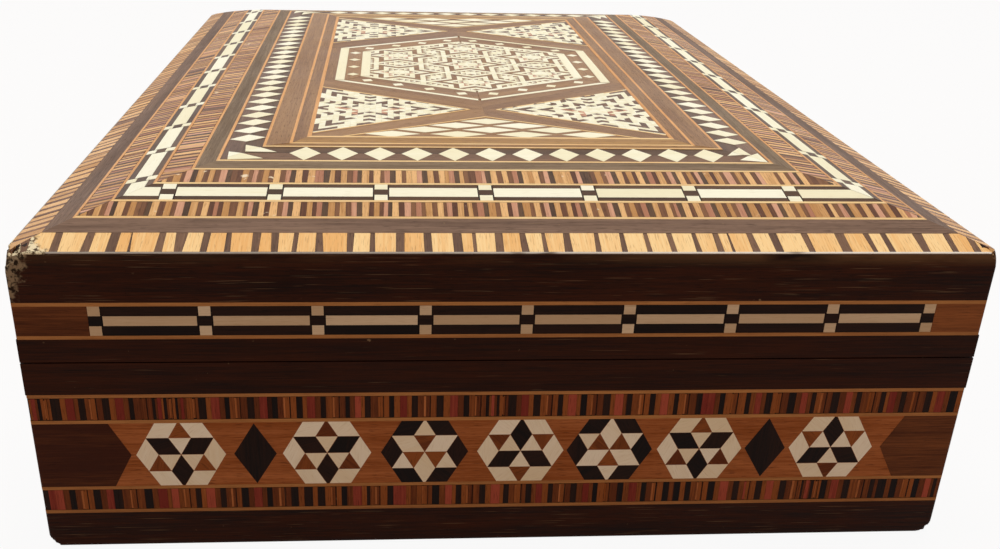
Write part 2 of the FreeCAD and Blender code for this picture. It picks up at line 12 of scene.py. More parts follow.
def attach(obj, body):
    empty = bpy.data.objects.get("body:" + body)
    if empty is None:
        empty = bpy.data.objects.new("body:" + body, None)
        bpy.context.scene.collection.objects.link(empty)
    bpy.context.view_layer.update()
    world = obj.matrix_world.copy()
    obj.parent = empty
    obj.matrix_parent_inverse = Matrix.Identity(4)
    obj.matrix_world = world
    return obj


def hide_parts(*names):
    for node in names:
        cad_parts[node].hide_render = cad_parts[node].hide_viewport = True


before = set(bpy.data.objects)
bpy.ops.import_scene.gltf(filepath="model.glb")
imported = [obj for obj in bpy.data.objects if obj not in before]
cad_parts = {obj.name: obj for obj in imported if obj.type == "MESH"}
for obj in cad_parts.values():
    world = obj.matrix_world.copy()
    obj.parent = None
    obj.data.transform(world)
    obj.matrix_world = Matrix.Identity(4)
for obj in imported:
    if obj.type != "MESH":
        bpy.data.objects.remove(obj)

logging.basicConfig(level=logging.INFO, format="%(name)s: %(message)s")
log = logging.getLogger("marquetry_box")

Placer = Callable[[np.ndarray, np.ndarray, np.ndarray], np.ndarray]
MM = 0.001
WHITE = (1.0, 1.0, 1.0, 1.0)
BUMP_STRENGTH = 0.6

# Sizes in millimetres that several bands share.
BED_SINK = 0.12
GROUND_SINK = 0.03
NEAR_CORNER = (3.0, 2.2, 1.5, 0.9, 0.4, 0.27, 0.13, 0.0)
MITRE_ROOM = 4.0
GRAIN_SPAN = 300.0
# Grain angles of a hexagon's tiles in radians, from the first to the last.
GRAIN_FAN = (0.3, 2.4)


class Side(Enum):
    """Sides of the box, each a quarter turn from the one before."""

    FRONT, RIGHT, BACK, LEFT = range(4)

    @property
    def short(self) -> bool:
        """True for the two short ends."""
        return self in (Side.FRONT, Side.BACK)


class Grain(Enum):
    """Where a wood finish takes the direction of its fibres from."""

    TILE = "the piece's own map"
    SOLID = "the object's axes"


class Polish(Enum):
    """State of the lacquer: specular level and roughness."""

    DULL = (0.06, 0.52)
    BRIGHT = (0.12, 0.42)


class Wear(Enum):
    """Marks that a finish carries."""

    NONE = "none"
    LINED = "fine lengthwise scratches and specks"
    RUBBED = "scratches, rubbed brown under the rim, chipped at the front left corner"
    # Pale along the rim edge: partly worn bare, partly a painted highlight on the rounded edge.
    SCUFFED = "bare along the edge"
    FLECKED = "small pale chips in patches"
    CHIPPED = "pitted at the front left corner"


@dataclass(frozen=True)
class BoxForm:
    """Outer form of the box in millimetres; the worn sizes say how far the outer corners are broken."""

    width: float = 140.0
    length: float = 196.0
    rim: float = 48.7
    crown: float = 6.0
    swell: float = 37.3
    corner: float = 0.4
    edge: float = 0.22
    foot_worn: float = 2.0
    rim_worn: float = 1.7
    chip: float = 2.7
    ragged: float = 0.2
    waves: tuple[tuple[float, float], ...] = ((3.1, 2.3), (2.7, -1.9))

    def run(self, side: Side) -> float:
        """Half of a side's length."""
        return (self.width if side.short else self.length) / 2

    def reach(self, side: Side) -> float:
        """Distance of a side's face from the middle."""
        return (self.length if side.short else self.width) / 2

    def plan(self, side: Side, along: np.ndarray, inward: np.ndarray) -> tuple[np.ndarray, np.ndarray]:
        """Turn a place along a side and in from its face to x and y, by quarter turns from the front."""
        x, y = along, inward - self.reach(side)
        return {Side.FRONT: (x, y), Side.RIGHT: (-y, x), Side.BACK: (-x, -y), Side.LEFT: (y, -x)}[side]

    def on_side(self, side: Side, spots: np.ndarray) -> np.ndarray:
        """Turn plan points back to places on a side.

        Args:
            side: The side.
            spots: Points, with x and y last.

        Returns:
            Distances along the side and in from its face.
        """
        x, y = spots[..., 0], spots[..., 1]
        turned = {Side.FRONT: (x, y), Side.RIGHT: (y, -x), Side.BACK: (-x, -y), Side.LEFT: (-y, x)}
        along, out = turned[side]
        return np.stack([along, out + self.reach(side)], axis=-1)

    def rise(self, inward: np.ndarray) -> np.ndarray:
        """Height of the pillow over the rim: an arc that is level where the swelling ends, then flat.

        Args:
            inward: Distance in from the nearest edge.

        Returns:
            The height, from 0 at the rim to the crown.
        """
        radius = (self.swell ** 2 + self.crown ** 2) / (2 * self.crown)
        left = np.clip(self.swell - inward, 0.0, self.swell)
        return self.crown - radius + np.sqrt(radius ** 2 - left ** 2)

    def worn(self, points: np.ndarray) -> np.ndarray:
        """Break the outer corners: what lies outside a corner's ragged slanting plane moves in to that plane.

        Args:
            points: Points, with x, y and z last.

        Returns:
            The points with worn corners.
        """
        plan, height = points[..., :2], points[..., 2]
        inset = (np.array([self.width, self.length]) / 2 - np.abs(plan)).sum(axis=-1)
        first, second = (np.sin(flat * plan[..., axis] + upright * height)
                         for axis, (flat, upright) in enumerate(self.waves))
        ragged = 1 + self.ragged * first * second
        cut = np.where((plan < 0).all(axis=-1), self.chip, self.rim_worn)
        foot = np.clip(self.foot_worn * ragged - inset - height, 0.0, None) / 3
        rim = np.clip(cut * ragged - inset - (self.rim - height), 0.0, None) / 3
        plan = plan - np.sign(plan) * (foot + rim)[..., None]
        return np.concatenate([plan, (height + foot - rim)[..., None]], axis=-1)


FORM = BoxForm()


@dataclass(frozen=True)
class UprightFace:
    """One upright side: u runs to the right seen from outside, v is the height, corners slightly eased."""

    side: Side
    foot: float = -1.0
    foot_round: float = 0.5

    def __call__(self, u: np.ndarray, v: np.ndarray, depth: np.ndarray) -> np.ndarray:
        """Point on the face: the foot falls back on a quarter round and each end turns through 45 degrees.

        Args:
            u: Distance along the side.
            v: Height.
            depth: Distance in from the face.

        Returns:
            Points, with x, y and z last.
        """
        short = np.clip(self.foot_round - (v - self.foot), 0.0, self.foot_round)
        inward = depth + self.foot_round - np.sqrt(self.foot_round ** 2 - short ** 2)
        end = FORM.run(self.side) - inward
        u = np.clip(u, -end, end)
        over = np.clip(np.abs(u) - (end - FORM.corner), 0.0, FORM.corner)
        angle = over / FORM.corner * math.pi / 4
        along = np.sign(u) * (np.abs(u) - over + FORM.corner * np.sin(angle))
        x, y = FORM.plan(self.side, along, inward + FORM.corner * (1 - np.cos(angle)))
        return FORM.worn(np.stack([x, y, np.broadcast_to(v, x.shape)], axis=-1))


@dataclass(frozen=True)
class PillowSlope:
    """One sloping side of the lid's top: u runs along the side, v is the distance in from the rim."""

    side: Side

    def __call__(self, u: np.ndarray, v: np.ndarray, depth: np.ndarray) -> np.ndarray:
        """Point on the pillow: the side's plan, at the rim's height plus the rise, pressed in by depth."""
        x, y = FORM.plan(self.side, u, v)
        return FORM.worn(np.stack([x, y, FORM.rim + FORM.rise(v) - depth], axis=-1))


@dataclass(frozen=True)
class WornEdge:
    """Rounded rim edge of one side: u runs along, v goes from 0 on the side to 1 on the top."""

    side: Side
    press: float = 0.7

    def __call__(self, u: np.ndarray, v: np.ndarray, depth: np.ndarray) -> np.ndarray:
        """Point on the edge: a quadratic curve whose middle handle is the sharp edge, pressed in by depth.

        Args:
            u: Distance along the side.
            v: Place over the edge.
            depth: Distance inside the edge, on the diagonal.

        Returns:
            Points, with x, y and z last.
        """
        wide, drop = FORM.edge, depth * self.press
        height = FORM.rim - wide * (1 - v) ** 2 + FORM.rise(np.asarray(wide)) * v ** 2 - drop
        return UprightFace(self.side)(u, height, wide * v ** 2 + drop)


@dataclass(frozen=True)
class FlatMiddle:
    """Flat middle of the lid: u is x and v is y."""

    def __call__(self, u: np.ndarray, v: np.ndarray, depth: np.ndarray) -> np.ndarray:
        """Point on the level top, pressed in by depth."""
        return np.stack([u, v, FORM.rim + FORM.crown - depth + 0 * u], axis=-1)


def linear(code: str) -> tuple[float, float, float, float]:
    """Linear colour of a screen colour, by the standard screen curve.

    Args:
        code: Six hexadecimal digits after a hash sign.

    Returns:
        Red, green and blue, and 1 for alpha.
    """
    parts = np.array([int(code[i:i + 2], 16) for i in (1, 3, 5)]) / 255
    out = np.where(parts <= 0.04045, parts / 12.92, ((parts + 0.055) / 1.055) ** 2.4)
    return (float(out[0]), float(out[1]), float(out[2]), 1.0)


@dataclass(frozen=True)
class Figure:
    """Noise that draws one feature of a surface: cells per unit on each axis, octaves and their weight."""

    stretch: tuple[float, float, float]
    detail: float = 3.0
    rough: float = 0.55


# Per millimetre, along and across the fibres.
FIBRE = Figure((0.11, 3.4, 1.0), 3.0, 0.6)
STREAK = Figure((0.02, 0.42, 1.0), 2.0, 0.5)
PORE = Figure((0.45, 8.0, 1.0), 1.0, 0.5)
HAIR = Figure((0.09, 5.2, 1.0), 2.0, 0.5)
# Per metre, on the object's axes.
SMUDGE = Figure((70.0, 70.0, 70.0))
GRIT = Figure((520.0, 520.0, 520.0), 3.0, 0.6)
PATCH = Figure((60.0, 60.0, 240.0), 3.0, 0.6)
CRUMB = Figure((1700.0, 1700.0, 1700.0), 3.0, 0.6)
TARNISH = Figure((260.0, 260.0, 260.0))
BRUSH = Figure((2600.0, 140.0, 2600.0), 2.0)
PILE = Figure((3200.0, 3200.0, 3200.0), 2.0)
STROKE = Figure((45.0, 60.0, 45.0))


class Signal:
    """A shader value that can be used in Python arithmetic."""

    def __init__(self, graph: "Graph", socket: bpy.types.NodeSocket) -> None:
        """Wrap one output socket of a graph."""
        self.graph = graph
        self.socket = socket

    def __add__(self, other: "Signal | float") -> "Signal":
        """Sum."""
        return self.graph.sum("ADD", self, other)

    __radd__ = __add__

    def __sub__(self, other: "Signal | float") -> "Signal":
        """Difference."""
        return self.graph.sum("SUBTRACT", self, other)

    def __rsub__(self, other: float) -> "Signal":
        """Reflected difference."""
        return self.graph.sum("SUBTRACT", other, self)

    def __mul__(self, other: "Signal | float") -> "Signal":
        """Product."""
        return self.graph.sum("MULTIPLY", self, other)

    __rmul__ = __mul__

    def __abs__(self) -> "Signal":
        """Size without the sign."""
        return self.graph.sum("ABSOLUTE", self, 0.0)

    def between(self, low: float, high: float) -> "Signal":
        """Smooth step from 0 at low to 1 at high."""
        made = self.graph.node("ShaderNodeMapRange", {"interpolation_type": "SMOOTHSTEP"},
                               {"Value": self, "From Min": low, "From Max": high})
        return Signal(self.graph, made.outputs["Result"])

    def swing(self, amount: float) -> "Signal":
        """Swing about 0.5, the middle of noise, by an amount."""
        return (self - 0.5) * amount


class Graph:
    """Node graph of one material or world."""

    def __init__(self, owner: bpy.types.Material | bpy.types.World) -> None:
        """Start from an empty tree.

        Args:
            owner: Material or world that the tree belongs to.
        """
        self.owner = owner
        owner.use_nodes = True
        self.tree = owner.node_tree
        self.tree.nodes.clear()

    def node(self, kind: str, settings: dict[str, object] | None = None,
             sockets: dict[str | int, object] | None = None) -> bpy.types.Node:
        """Add one node.

        Args:
            kind: The node's type.
            settings: Properties of the node, set first.
            sockets: Values or signals for its inputs, by name or number.

        Returns:
            The node.
        """
        made = self.tree.nodes.new(kind)
        for key, setting in (settings or {}).items():
            setattr(made, key, setting)
        for key, given in (sockets or {}).items():
            target = made.inputs[key]
            given = given.socket if isinstance(given, Signal) else given
            if isinstance(given, bpy.types.NodeSocket):
                self.tree.links.new(given, target)
            else:
                target.default_value = given
        return made

    def sum(self, operation: str, first: Signal | float, second: Signal | float) -> Signal:
        """One Math node on two values."""
        made = self.node("ShaderNodeMath", {"operation": operation}, {0: first, 1: second})
        return Signal(self, made.outputs[0])

    def blend(self, share: Signal | float, first: object, second: object) -> bpy.types.NodeSocket:
        """Mix two colours by a share from 0 to 1."""
        made = self.node("ShaderNodeMix", {"data_type": "RGBA"}, {0: share, 6: first, 7: second})
        return made.outputs[2]

    def noise(self, vector: bpy.types.NodeSocket, figure: Figure, flat: bool = False) -> Signal:
        """Noise on a stretched coordinate.

        Args:
            vector: Coordinate to read.
            figure: Stretch and octaves.
            flat: True for a coordinate with two axes.

        Returns:
            The noise, about 0 to 1 with its middle at 0.5.
        """
        mapped = self.node("ShaderNodeMapping", None, {"Vector": vector, "Scale": figure.stretch})
        made = self.node("ShaderNodeTexNoise", {"noise_dimensions": "2D" if flat else "3D"},
                         {"Vector": mapped.outputs[0], "Scale": 1.0, "Detail": figure.detail,
                          "Roughness": figure.rough})
        return Signal(self, made.outputs[0])

    def place(self) -> bpy.types.NodeSocket:
        """Object coordinate in metres."""
        return self.node("ShaderNodeTexCoord").outputs["Object"]

    def axes(self, name: str = "Object", scale: float = 1 / MM) -> list[Signal]:
        """The three parts of a coordinate, in millimetres unless another scale is given."""
        apart = self.node("ShaderNodeSeparateXYZ", None, {0: self.node("ShaderNodeTexCoord").outputs[name]})
        return [Signal(self, part) * scale for part in apart.outputs]

    def fibres(self, source: Grain) -> bpy.types.NodeSocket:
        """Coordinate in millimetres whose first axis runs along the wood's fibres.

        Args:
            source: The piece's own map, or the axes of the object: along the face on upright faces, along
                the box on level ones.

        Returns:
            The coordinate.
        """
        if source is Grain.TILE:
            return self.node("ShaderNodeUVMap", {"uv_map": "Grain"}).outputs[0]
        _, ends, level = (abs(part) for part in self.axes("Normal", 1.0))
        x, y, z = self.axes()
        along = x * ends + y * (1.0 - ends)
        across = z * (1.0 - level) + x * level
        return self.node("ShaderNodeCombineXYZ", None, {0: along, 1: across, 2: 0.0}).outputs[0]

    def seen(self) -> Signal:
        """Tell the rays that show a background from the rays that light.

        Returns:
            1 for camera, glossy and transmission rays, 0 for others.
        """
        path = self.node("ShaderNodeLightPath")
        camera, glossy, clear = (Signal(self, path.outputs[f"Is {name} Ray"])
                                 for name in ("Camera", "Glossy", "Transmission"))
        return self.sum("MAXIMUM", self.sum("MAXIMUM", camera, glossy), clear)

    def close(self, inputs: dict[str, object], height: Signal, depth: float) -> bpy.types.Material:
        """Add the main shader and its bump.

        Args:
            inputs: Values or links of the main shader's sockets.
            height: Height for the bump.
            depth: Depth of the bump in metres.

        Returns:
            The material.
        """
        bump = self.node("ShaderNodeBump", None,
                         {"Strength": BUMP_STRENGTH, "Distance": depth, "Height": height})
        shader = self.node("ShaderNodeBsdfPrincipled", None, {**inputs, "Normal": bump.outputs[0]})
        self.node("ShaderNodeOutputMaterial", None, {0: shader.outputs[0]})
        return self.owner


@dataclass(frozen=True)
class Chip:
    """Broken corner: how fast it ends aside and to the rear per millimetre, and the raw wood's shades."""

    aside: float
    rear: float
    raw: tuple[str, str]
    down: float = 0.1
    ragged: float = 1.4
    bare: tuple[float, float] = (0.0, 0.3)
    crumb: tuple[float, float] = (0.4, 0.56)

    def mark(self, graph: Graph, grit: Signal) -> tuple[Signal, bpy.types.NodeSocket]:
        """Bare wood within a ragged distance of the rim's front left corner.

        Args:
            graph: Graph of the material.
            grit: Noise that makes the distance ragged.

        Returns:
            The mask and the colour of the crumbled wood.
        """
        x, y, z = graph.axes()
        aside, rear = (x + FORM.width / 2) * self.aside, (y + FORM.length / 2) * self.rear
        reach = aside + rear + (FORM.rim - z) * self.down
        bare = (1.0 - reach + grit.swing(self.ragged)).between(*self.bare)
        crumb = graph.noise(graph.place(), CRUMB).between(*self.crumb)
        return bare, graph.blend(crumb, *(linear(shade) for shade in self.raw))


SIDE_CHIP = Chip(0.24, 0.2, ("#2a1e14", "#927f64"))
TOP_CHIP = Chip(0.15, 0.12, ("#4a3622", "#f2e4bc"))


@dataclass(frozen=True)
class WearAndHighlightMarks:
    """Wear on the lacquer, with a painted highlight along the rim edge: spans of noise or millimetres from no
    mark to a full one, weights, colours.
    """

    hair: tuple[float, float] = (0.68, 0.76)
    hair_weight: float = 0.3
    speck: tuple[float, float] = (0.7, 0.78)
    speck_weight: float = 0.5
    scratch_colour: str = "#a68a68"
    rub_height: tuple[float, float] = (FORM.rim - 2.4, FORM.rim - 0.4)
    rub_patch: tuple[float, float] = (0.36, 0.6)
    rub_side: tuple[float, float] = (-10.0, 60.0)
    rub_weight: tuple[float, float] = (0.15, 0.5)
    rub_colour: str = "#7a5a3c"
    # Near-white line on the upper part of the rim edge, stronger to the right: partly wear, partly a painted
    # highlight.
    scuff_highlight_height: tuple[float, float] = (FORM.rim - 0.2, FORM.rim - 0.1)
    scuff_highlight_patch: tuple[float, float] = (0.32, 0.4)
    scuff_highlight_side: tuple[float, float] = (-30.0, 40.0)
    scuff_highlight_weight: tuple[float, float] = (0.4, 0.6)
    scuff_highlight_colour: str = "#fbf4e6"
    fleck: tuple[float, float] = (0.64, 0.72)
    fleck_patch: tuple[float, float] = (0.5, 0.62)
    fleck_colour: str = "#f6e6c6"
    rough: float = 0.25

    def laid(self, graph: Graph, along: bpy.types.NodeSocket, wear: Wear,
             flat: bool) -> list[tuple[Signal, object]]:
        """Marks that one kind of wear lays over the colour, a painted highlight among them, from the first to
        the last.

        Args:
            graph: Graph of the material.
            along: Coordinate along the fibres.
            wear: The kind of wear.
            flat: True where that coordinate has two axes.

        Returns:
            Masks from 0 to 1, each with the colour that it shows.
        """
        if wear is Wear.NONE:
            return []
        spot = graph.place()
        x, _, z = graph.axes()
        grit, patch = graph.noise(spot, GRIT), graph.noise(spot, PATCH)
        marks: list[tuple[Signal, object]] = []
        if wear in (Wear.LINED, Wear.RUBBED):
            hair = graph.noise(along, HAIR, flat).between(*self.hair) * self.hair_weight
            speck = grit.between(*self.speck) * self.speck_weight
            marks.append((hair + speck, linear(self.scratch_colour)))
        if wear is Wear.RUBBED:
            under = z.between(*self.rub_height) * patch.between(*self.rub_patch)
            least, more = self.rub_weight
            marks.append((under * (least + more * x.between(*self.rub_side)), linear(self.rub_colour)))
            marks.append(SIDE_CHIP.mark(graph, grit))
        # Near-white line along the rounded rim edge, stronger to the right: partly worn bare wood, partly a
        # painted highlight.
        if wear is Wear.SCUFFED:
            line = z.between(*self.scuff_highlight_height) * patch.between(*self.scuff_highlight_patch)
            least, more = self.scuff_highlight_weight
            marks.append((line * (least + more * x.between(*self.scuff_highlight_side)), linear(self.scuff_highlight_colour)))
        if wear is Wear.FLECKED:
            fleck = grit.between(*self.fleck) * patch.between(*self.fleck_patch)
            marks.append((fleck, linear(self.fleck_colour)))
        if wear in (Wear.SCUFFED, Wear.CHIPPED):
            marks.append(TOP_CHIP.mark(graph, grit))
        return marks


MARKS = WearAndHighlightMarks()


@dataclass(frozen=True)
class WoodFinish:
    """Lacquered wood or bone: fibres, broad streaks, pores, tile-to-tile tone, wear and a painted highlight
    on the rim edge.
    """

    name: str
    deep: str
    pale: str
    pore: str
    fibre: float = 0.9
    streak: float = 0.7
    tone: float = 0.45
    pores: float = 0.5
    wear: Wear = Wear.NONE
    grain: Grain = Grain.TILE
    shades: tuple[float, float] = (0.1, 0.9)
    pore_span: tuple[float, float] = (0.62, 0.74)
    pore_rough: float = 0.15
    smudged: float = 0.22
    ridge: float = 0.4
    bump: float = 0.00004

    def material(self, polish: Polish) -> bpy.types.Material:
        """Make the material, whose colour runs between the deep and the pale shade.

        Args:
            polish: State of the lacquer.

        Returns:
            The material.
        """
        graph = Graph(bpy.data.materials.new(f"{self.name}_{polish.name.lower()}"))
        gloss, dull = polish.value
        flat = self.grain is Grain.TILE
        along = graph.fibres(self.grain)
        fibre, streak = graph.noise(along, FIBRE, flat), graph.noise(along, STREAK, flat)
        pores = graph.noise(along, PORE, flat).between(*self.pore_span) * self.pores
        shade = 0.5 + fibre.swing(self.fibre) + streak.swing(self.streak)
        if flat:
            tone = graph.node("ShaderNodeAttribute", {"attribute_name": "tone"}).outputs["Fac"]
            shade = shade + Signal(graph, tone).swing(self.tone)
        colour = graph.blend(shade.between(*self.shades), linear(self.deep), linear(self.pale))
        colour = graph.blend(pores, colour, linear(self.pore))
        smudge = graph.noise(graph.place(), SMUDGE)
        rough = dull + smudge.swing(self.smudged) + pores * self.pore_rough
        for mask, tint in MARKS.laid(graph, along, self.wear, flat):
            colour = graph.blend(mask, colour, tint)
            rough = rough + mask * MARKS.rough
        sockets = {"Base Color": colour, "Roughness": rough, "Specular IOR Level": gloss}
        return graph.close(sockets, fibre * self.ridge - pores, self.bump)


@dataclass(frozen=True)
class BrassFinish:
    """Old brass, dulled in patches and faintly brushed."""

    name: str = "old_brass"
    bright: str = "#c79a4b"
    dulled: str = "#7d5a2a"
    dulling: tuple[float, float] = (0.35, 0.7)
    rough: float = 0.22
    patched: float = 0.28
    brushed: float = 0.1
    bump: float = 0.00002

    def material(self) -> bpy.types.Material:
        """Make the material.

        Returns:
            The material.
        """
        graph = Graph(bpy.data.materials.new(self.name))
        spot = graph.place()
        patch, brush = graph.noise(spot, TARNISH), graph.noise(spot, BRUSH)
        colour = graph.blend(patch.between(*self.dulling), linear(self.bright), linear(self.dulled))
        rough = self.rough + patch * self.patched + brush.swing(self.brushed)
        return graph.close({"Base Color": colour, "Roughness": rough, "Metallic": 1.0}, brush, self.bump)


@dataclass(frozen=True)
class VelvetFinish:
    """Short-pile velvet: fine pile, brushed patches and a sheen at glancing light."""

    name: str = "lining_velvet"
    deep: str = "#4a0d12"
    pale: str = "#8a2026"
    sheen: str = "#e08a86"
    shades: tuple[float, float] = (0.2, 0.8)
    weights: tuple[float, float, float] = (0.45, 0.7, 0.08)
    rough: float = 0.85
    rough_swing: float = 0.1
    sheen_weight: float = 0.6
    sheen_rough: float = 0.4
    gloss: float = 0.2
    bump: float = 0.00025

    def material(self) -> bpy.types.Material:
        """Make the material.

        Returns:
            The material.
        """
        graph = Graph(bpy.data.materials.new(self.name))
        spot = graph.place()
        pile, brushed = graph.noise(spot, PILE), graph.noise(spot, STROKE)
        fine, broad, less = self.weights
        share = pile * fine + brushed * broad - less
        colour = graph.blend(share.between(*self.shades), linear(self.deep), linear(self.pale))
        rough = self.rough + brushed.swing(self.rough_swing)
        sockets = {"Base Color": colour, "Roughness": rough, "Sheen Weight": self.sheen_weight,
                   "Sheen Roughness": self.sheen_rough, "Sheen Tint": linear(self.sheen),
                   "Specular IOR Level": self.gloss}
        return graph.close(sockets, pile, self.bump)


class Timber(Enum):
    """Stocks that the veneer is cut from, each with its finish."""

    STAINED = WoodFinish("stained_band", "#160804", "#3e1c0c", "#0a0403", wear=Wear.LINED)
    EBONY = WoodFinish("ebony_tile", "#120906", "#2b1810", "#070403")
    BONE = WoodFinish("bone_tile", "#efdfbc", "#faf1d9", "#c9b083", 0.5, 0.5, 0.7, 0.25)
    TAN = WoodFinish("tan_tile", "#bd8a52", "#ebbc80", "#8a5a2c", 0.9, 0.6, 0.9, 0.5, Wear.FLECKED)
    BROWN = WoodFinish("brown_tile", "#8c6438", "#b2884e", "#2e170b", 0.9, 0.6, 1.0, 0.5)
    RUSSET = WoodFinish("russet_tile", "#7c2f25", "#ab523d", "#3a120c", 0.8, 0.5, 0.9, 0.4)
    ORANGE = WoodFinish("orange_field", "#8e4c20", "#b97243", "#4a2110", 0.9, 0.8, 0.5, 0.5)
    UMBER = WoodFinish("umber_blank", "#3c1a0c", "#9c5e34", "#1d0e07", 0.4, 0.3, 1.2, 0.3)
    LINE = WoodFinish("pale_line", "#c4853f", "#eab273", "#7a4a22", 0.7, 0.5, 0.5, 0.25)
    # Rounded rim edge: its near-white line is partly wear and partly a painted highlight.
    SCUFFED = WoodFinish("scuffed_edge", "#24120a", "#5a3824", "#0d0806", wear=Wear.SCUFFED)
    # Dark stain drawn lighter and greyer for the top: a painted sheen in place of the lacquer's glancing
    # reflection there.
    FADED = WoodFinish("faded_band", "#5e4434", "#806048", "#24130a", wear=Wear.LINED)
    RUBBED = WoodFinish("rubbed_band", "#160804", "#3e1c0c", "#0a0403", wear=Wear.RUBBED)
    BLOCK = WoodFinish("rim_block", "#f0b870", "#ffdc9e", "#8a5a2c", 0.8, 0.5, 0.6, 0.4, Wear.CHIPPED)
    HAZEL = WoodFinish("hazel_band", "#7c5839", "#a0794f", "#34200f", 0.9, 0.8, 0.5, 0.5)
    THREAD = WoodFinish("side_line", "#98643a", "#c18850", "#5a3418", 0.7, 0.5, 0.5, 0.25)
    OLD_BONE = WoodFinish("old_bone_tile", "#cbb08c", "#e2cdac", "#a58a62", 0.5, 0.5, 0.7, 0.25)
    CHESTNUT = WoodFinish("chestnut_tile", "#64331a", "#945429", "#2a1208", 0.9, 0.6, 0.9, 0.5)
    SMOKED = WoodFinish("smoked_tile", "#58331f", "#825838", "#2a160c", 0.8, 0.5, 0.9, 0.4, Wear.FLECKED)
    ROSE = WoodFinish("rose_tile", "#ae7658", "#d8a484", "#6a402c", 0.8, 0.5, 0.9, 0.3)
    CREAM = WoodFinish("cream_line", "#e2b272", "#f9dea4", "#a87a44", 0.7, 0.5, 0.5, 0.2)
    # Black drawn lighter and browner for the top's black tiles: a painted sheen in place of the lacquer's
    # glancing reflection.
    SOOT = WoodFinish("soot_tile", "#442d1c", "#64482f", "#1a120b")
    IVORY = WoodFinish("ivory_tile", "#f5efca", "#fefde4", "#cbb689", 0.5, 0.5, 0.7, 0.2)
    # The top's outer and middle dark bands: the dark stain drawn lighter and greyer, a painted sheen in place
    # of the lacquer's glancing reflection.
    DUSTY = WoodFinish("dusty_band", "#5e493c", "#8a705e", "#2e2018", wear=Wear.LINED)
    ASHEN = WoodFinish("ashen_band", "#665340", "#8e7a62", "#3a281c", wear=Wear.LINED)

    @property
    def number(self) -> int:
        """Place in the list of timbers, which marks the stock of a face."""
        return list(Timber).index(self)

    def under(self, polish: Polish) -> bpy.types.Material:
        """The timber's material under a lacquer, made once."""
        made = bpy.data.materials.get(f"{self.value.name}_{polish.name.lower()}")
        return made or self.value.material(polish)


@dataclass
class Tiles:
    """Flat convex tiles: corners padded to one length, and each tile's timber, grain and corner count."""

    corners: np.ndarray
    timber: np.ndarray
    grain: np.ndarray
    count: np.ndarray

    @staticmethod
    def of(corners: np.ndarray, timber: np.ndarray | Timber, grain: np.ndarray | float = 0.0) -> "Tiles":
        """Tiles that all have as many corners.

        Args:
            corners: Corners, one row of points for each tile.
            timber: One timber for all, or the timber's number for each tile.
            grain: Angle of the fibres, for all or for each tile.

        Returns:
            The tiles.
        """
        total, sides = corners.shape[:2]
        kind = np.full(total, timber.number) if isinstance(timber, Timber) else np.asarray(timber)
        angle = np.broadcast_to(np.asarray(grain, float), (total,)).copy()
        return Tiles(np.asarray(corners, float), kind, angle, np.full(total, sides))

    def cut(self, normal: Sequence[float], offset: float) -> "Tiles":
        """Keep one side of a line: each edge gives its first corner if that is kept, and its crossing.

        Args:
            normal: Direction in which tiles are cut off.
            offset: Distance of the line along that direction.

        Returns:
            The tiles that are left.
        """
        total, sides = self.corners.shape[:2]
        slot = np.arange(sides)
        real = slot < self.count[:, None]
        follow = np.where(slot + 1 < self.count[:, None], slot + 1, 0)
        here = self.corners
        there = np.take_along_axis(here, follow[..., None], axis=1)
        room_here, room_there = offset - here @ np.asarray(normal), offset - there @ np.asarray(normal)
        gap = room_here - room_there
        share = room_here / np.where(np.abs(gap) > 1e-12, gap, 1.0)
        crossing = here + (there - here) * share[..., None]
        keep = np.stack([real & (room_here >= 0), real & ((room_here >= 0) != (room_there >= 0))], axis=2)
        keep = keep.reshape(total, 2 * sides)
        points = np.stack([here, crossing], axis=2).reshape(total, 2 * sides, 2)
        count = keep.sum(axis=1)
        order = np.argsort(~keep, axis=1, kind="stable")[:, :max(3, int(count.max(initial=3)))]
        points = np.take_along_axis(points, order[..., None], axis=1)
        alive = count >= 3
        return Tiles(points[alive], self.timber[alive], self.grain[alive], count[alive])

    def inside(self, outline: np.ndarray) -> "Tiles":
        """Keep what lies inside a convex outline, edge by edge.

        Args:
            outline: Corners of the outline, anticlockwise.

        Returns:
            The tiles that are left.
        """
        left = self
        for start, stop in zip(outline, np.roll(outline, -1, axis=0)):
            normal = np.array([stop[1] - start[1], start[0] - stop[0]])
            left = left.cut(normal, float(normal @ start))
        return left

    def mitred(self, run: float) -> "Tiles":
        """Keep what lies between the two mitres of a band whose rim edge has the given half length."""
        return self.cut((1.0, 1.0), run).cut((-1.0, 1.0), run)

    @staticmethod
    def joined(parts: "Sequence[Tiles]") -> "Tiles":
        """All tiles of several sets, padded to the widest.

        Args:
            parts: The sets.

        Returns:
            One set.
        """
        widest = max(part.corners.shape[1] for part in parts)
        padded = [np.pad(part.corners, ((0, 0), (0, widest - part.corners.shape[1]), (0, 0)), mode="edge")
                  for part in parts]
        rest = (np.concatenate([getattr(part, name) for part in parts])
                for name in ("timber", "grain", "count"))
        return Tiles(np.concatenate(padded), *rest)


def oblongs(left: np.ndarray, right: np.ndarray, low: float, high: float) -> np.ndarray:
    """Corners of upright oblongs from their edges, anticlockwise."""
    left, right, low, high = np.broadcast_arrays(np.asarray(left, float), right, low, high)
    return np.stack([np.stack([left, low], -1), np.stack([right, low], -1), np.stack([right, high], -1),
                     np.stack([left, high], -1)], axis=1)


def rhombs(spots: np.ndarray, wide: float, tall: float) -> np.ndarray:
    """Corners of rhombs round their middles, anticlockwise."""
    return spots[:, None] + np.array([(-wide, 0), (0, -tall), (wide, 0), (0, tall)])


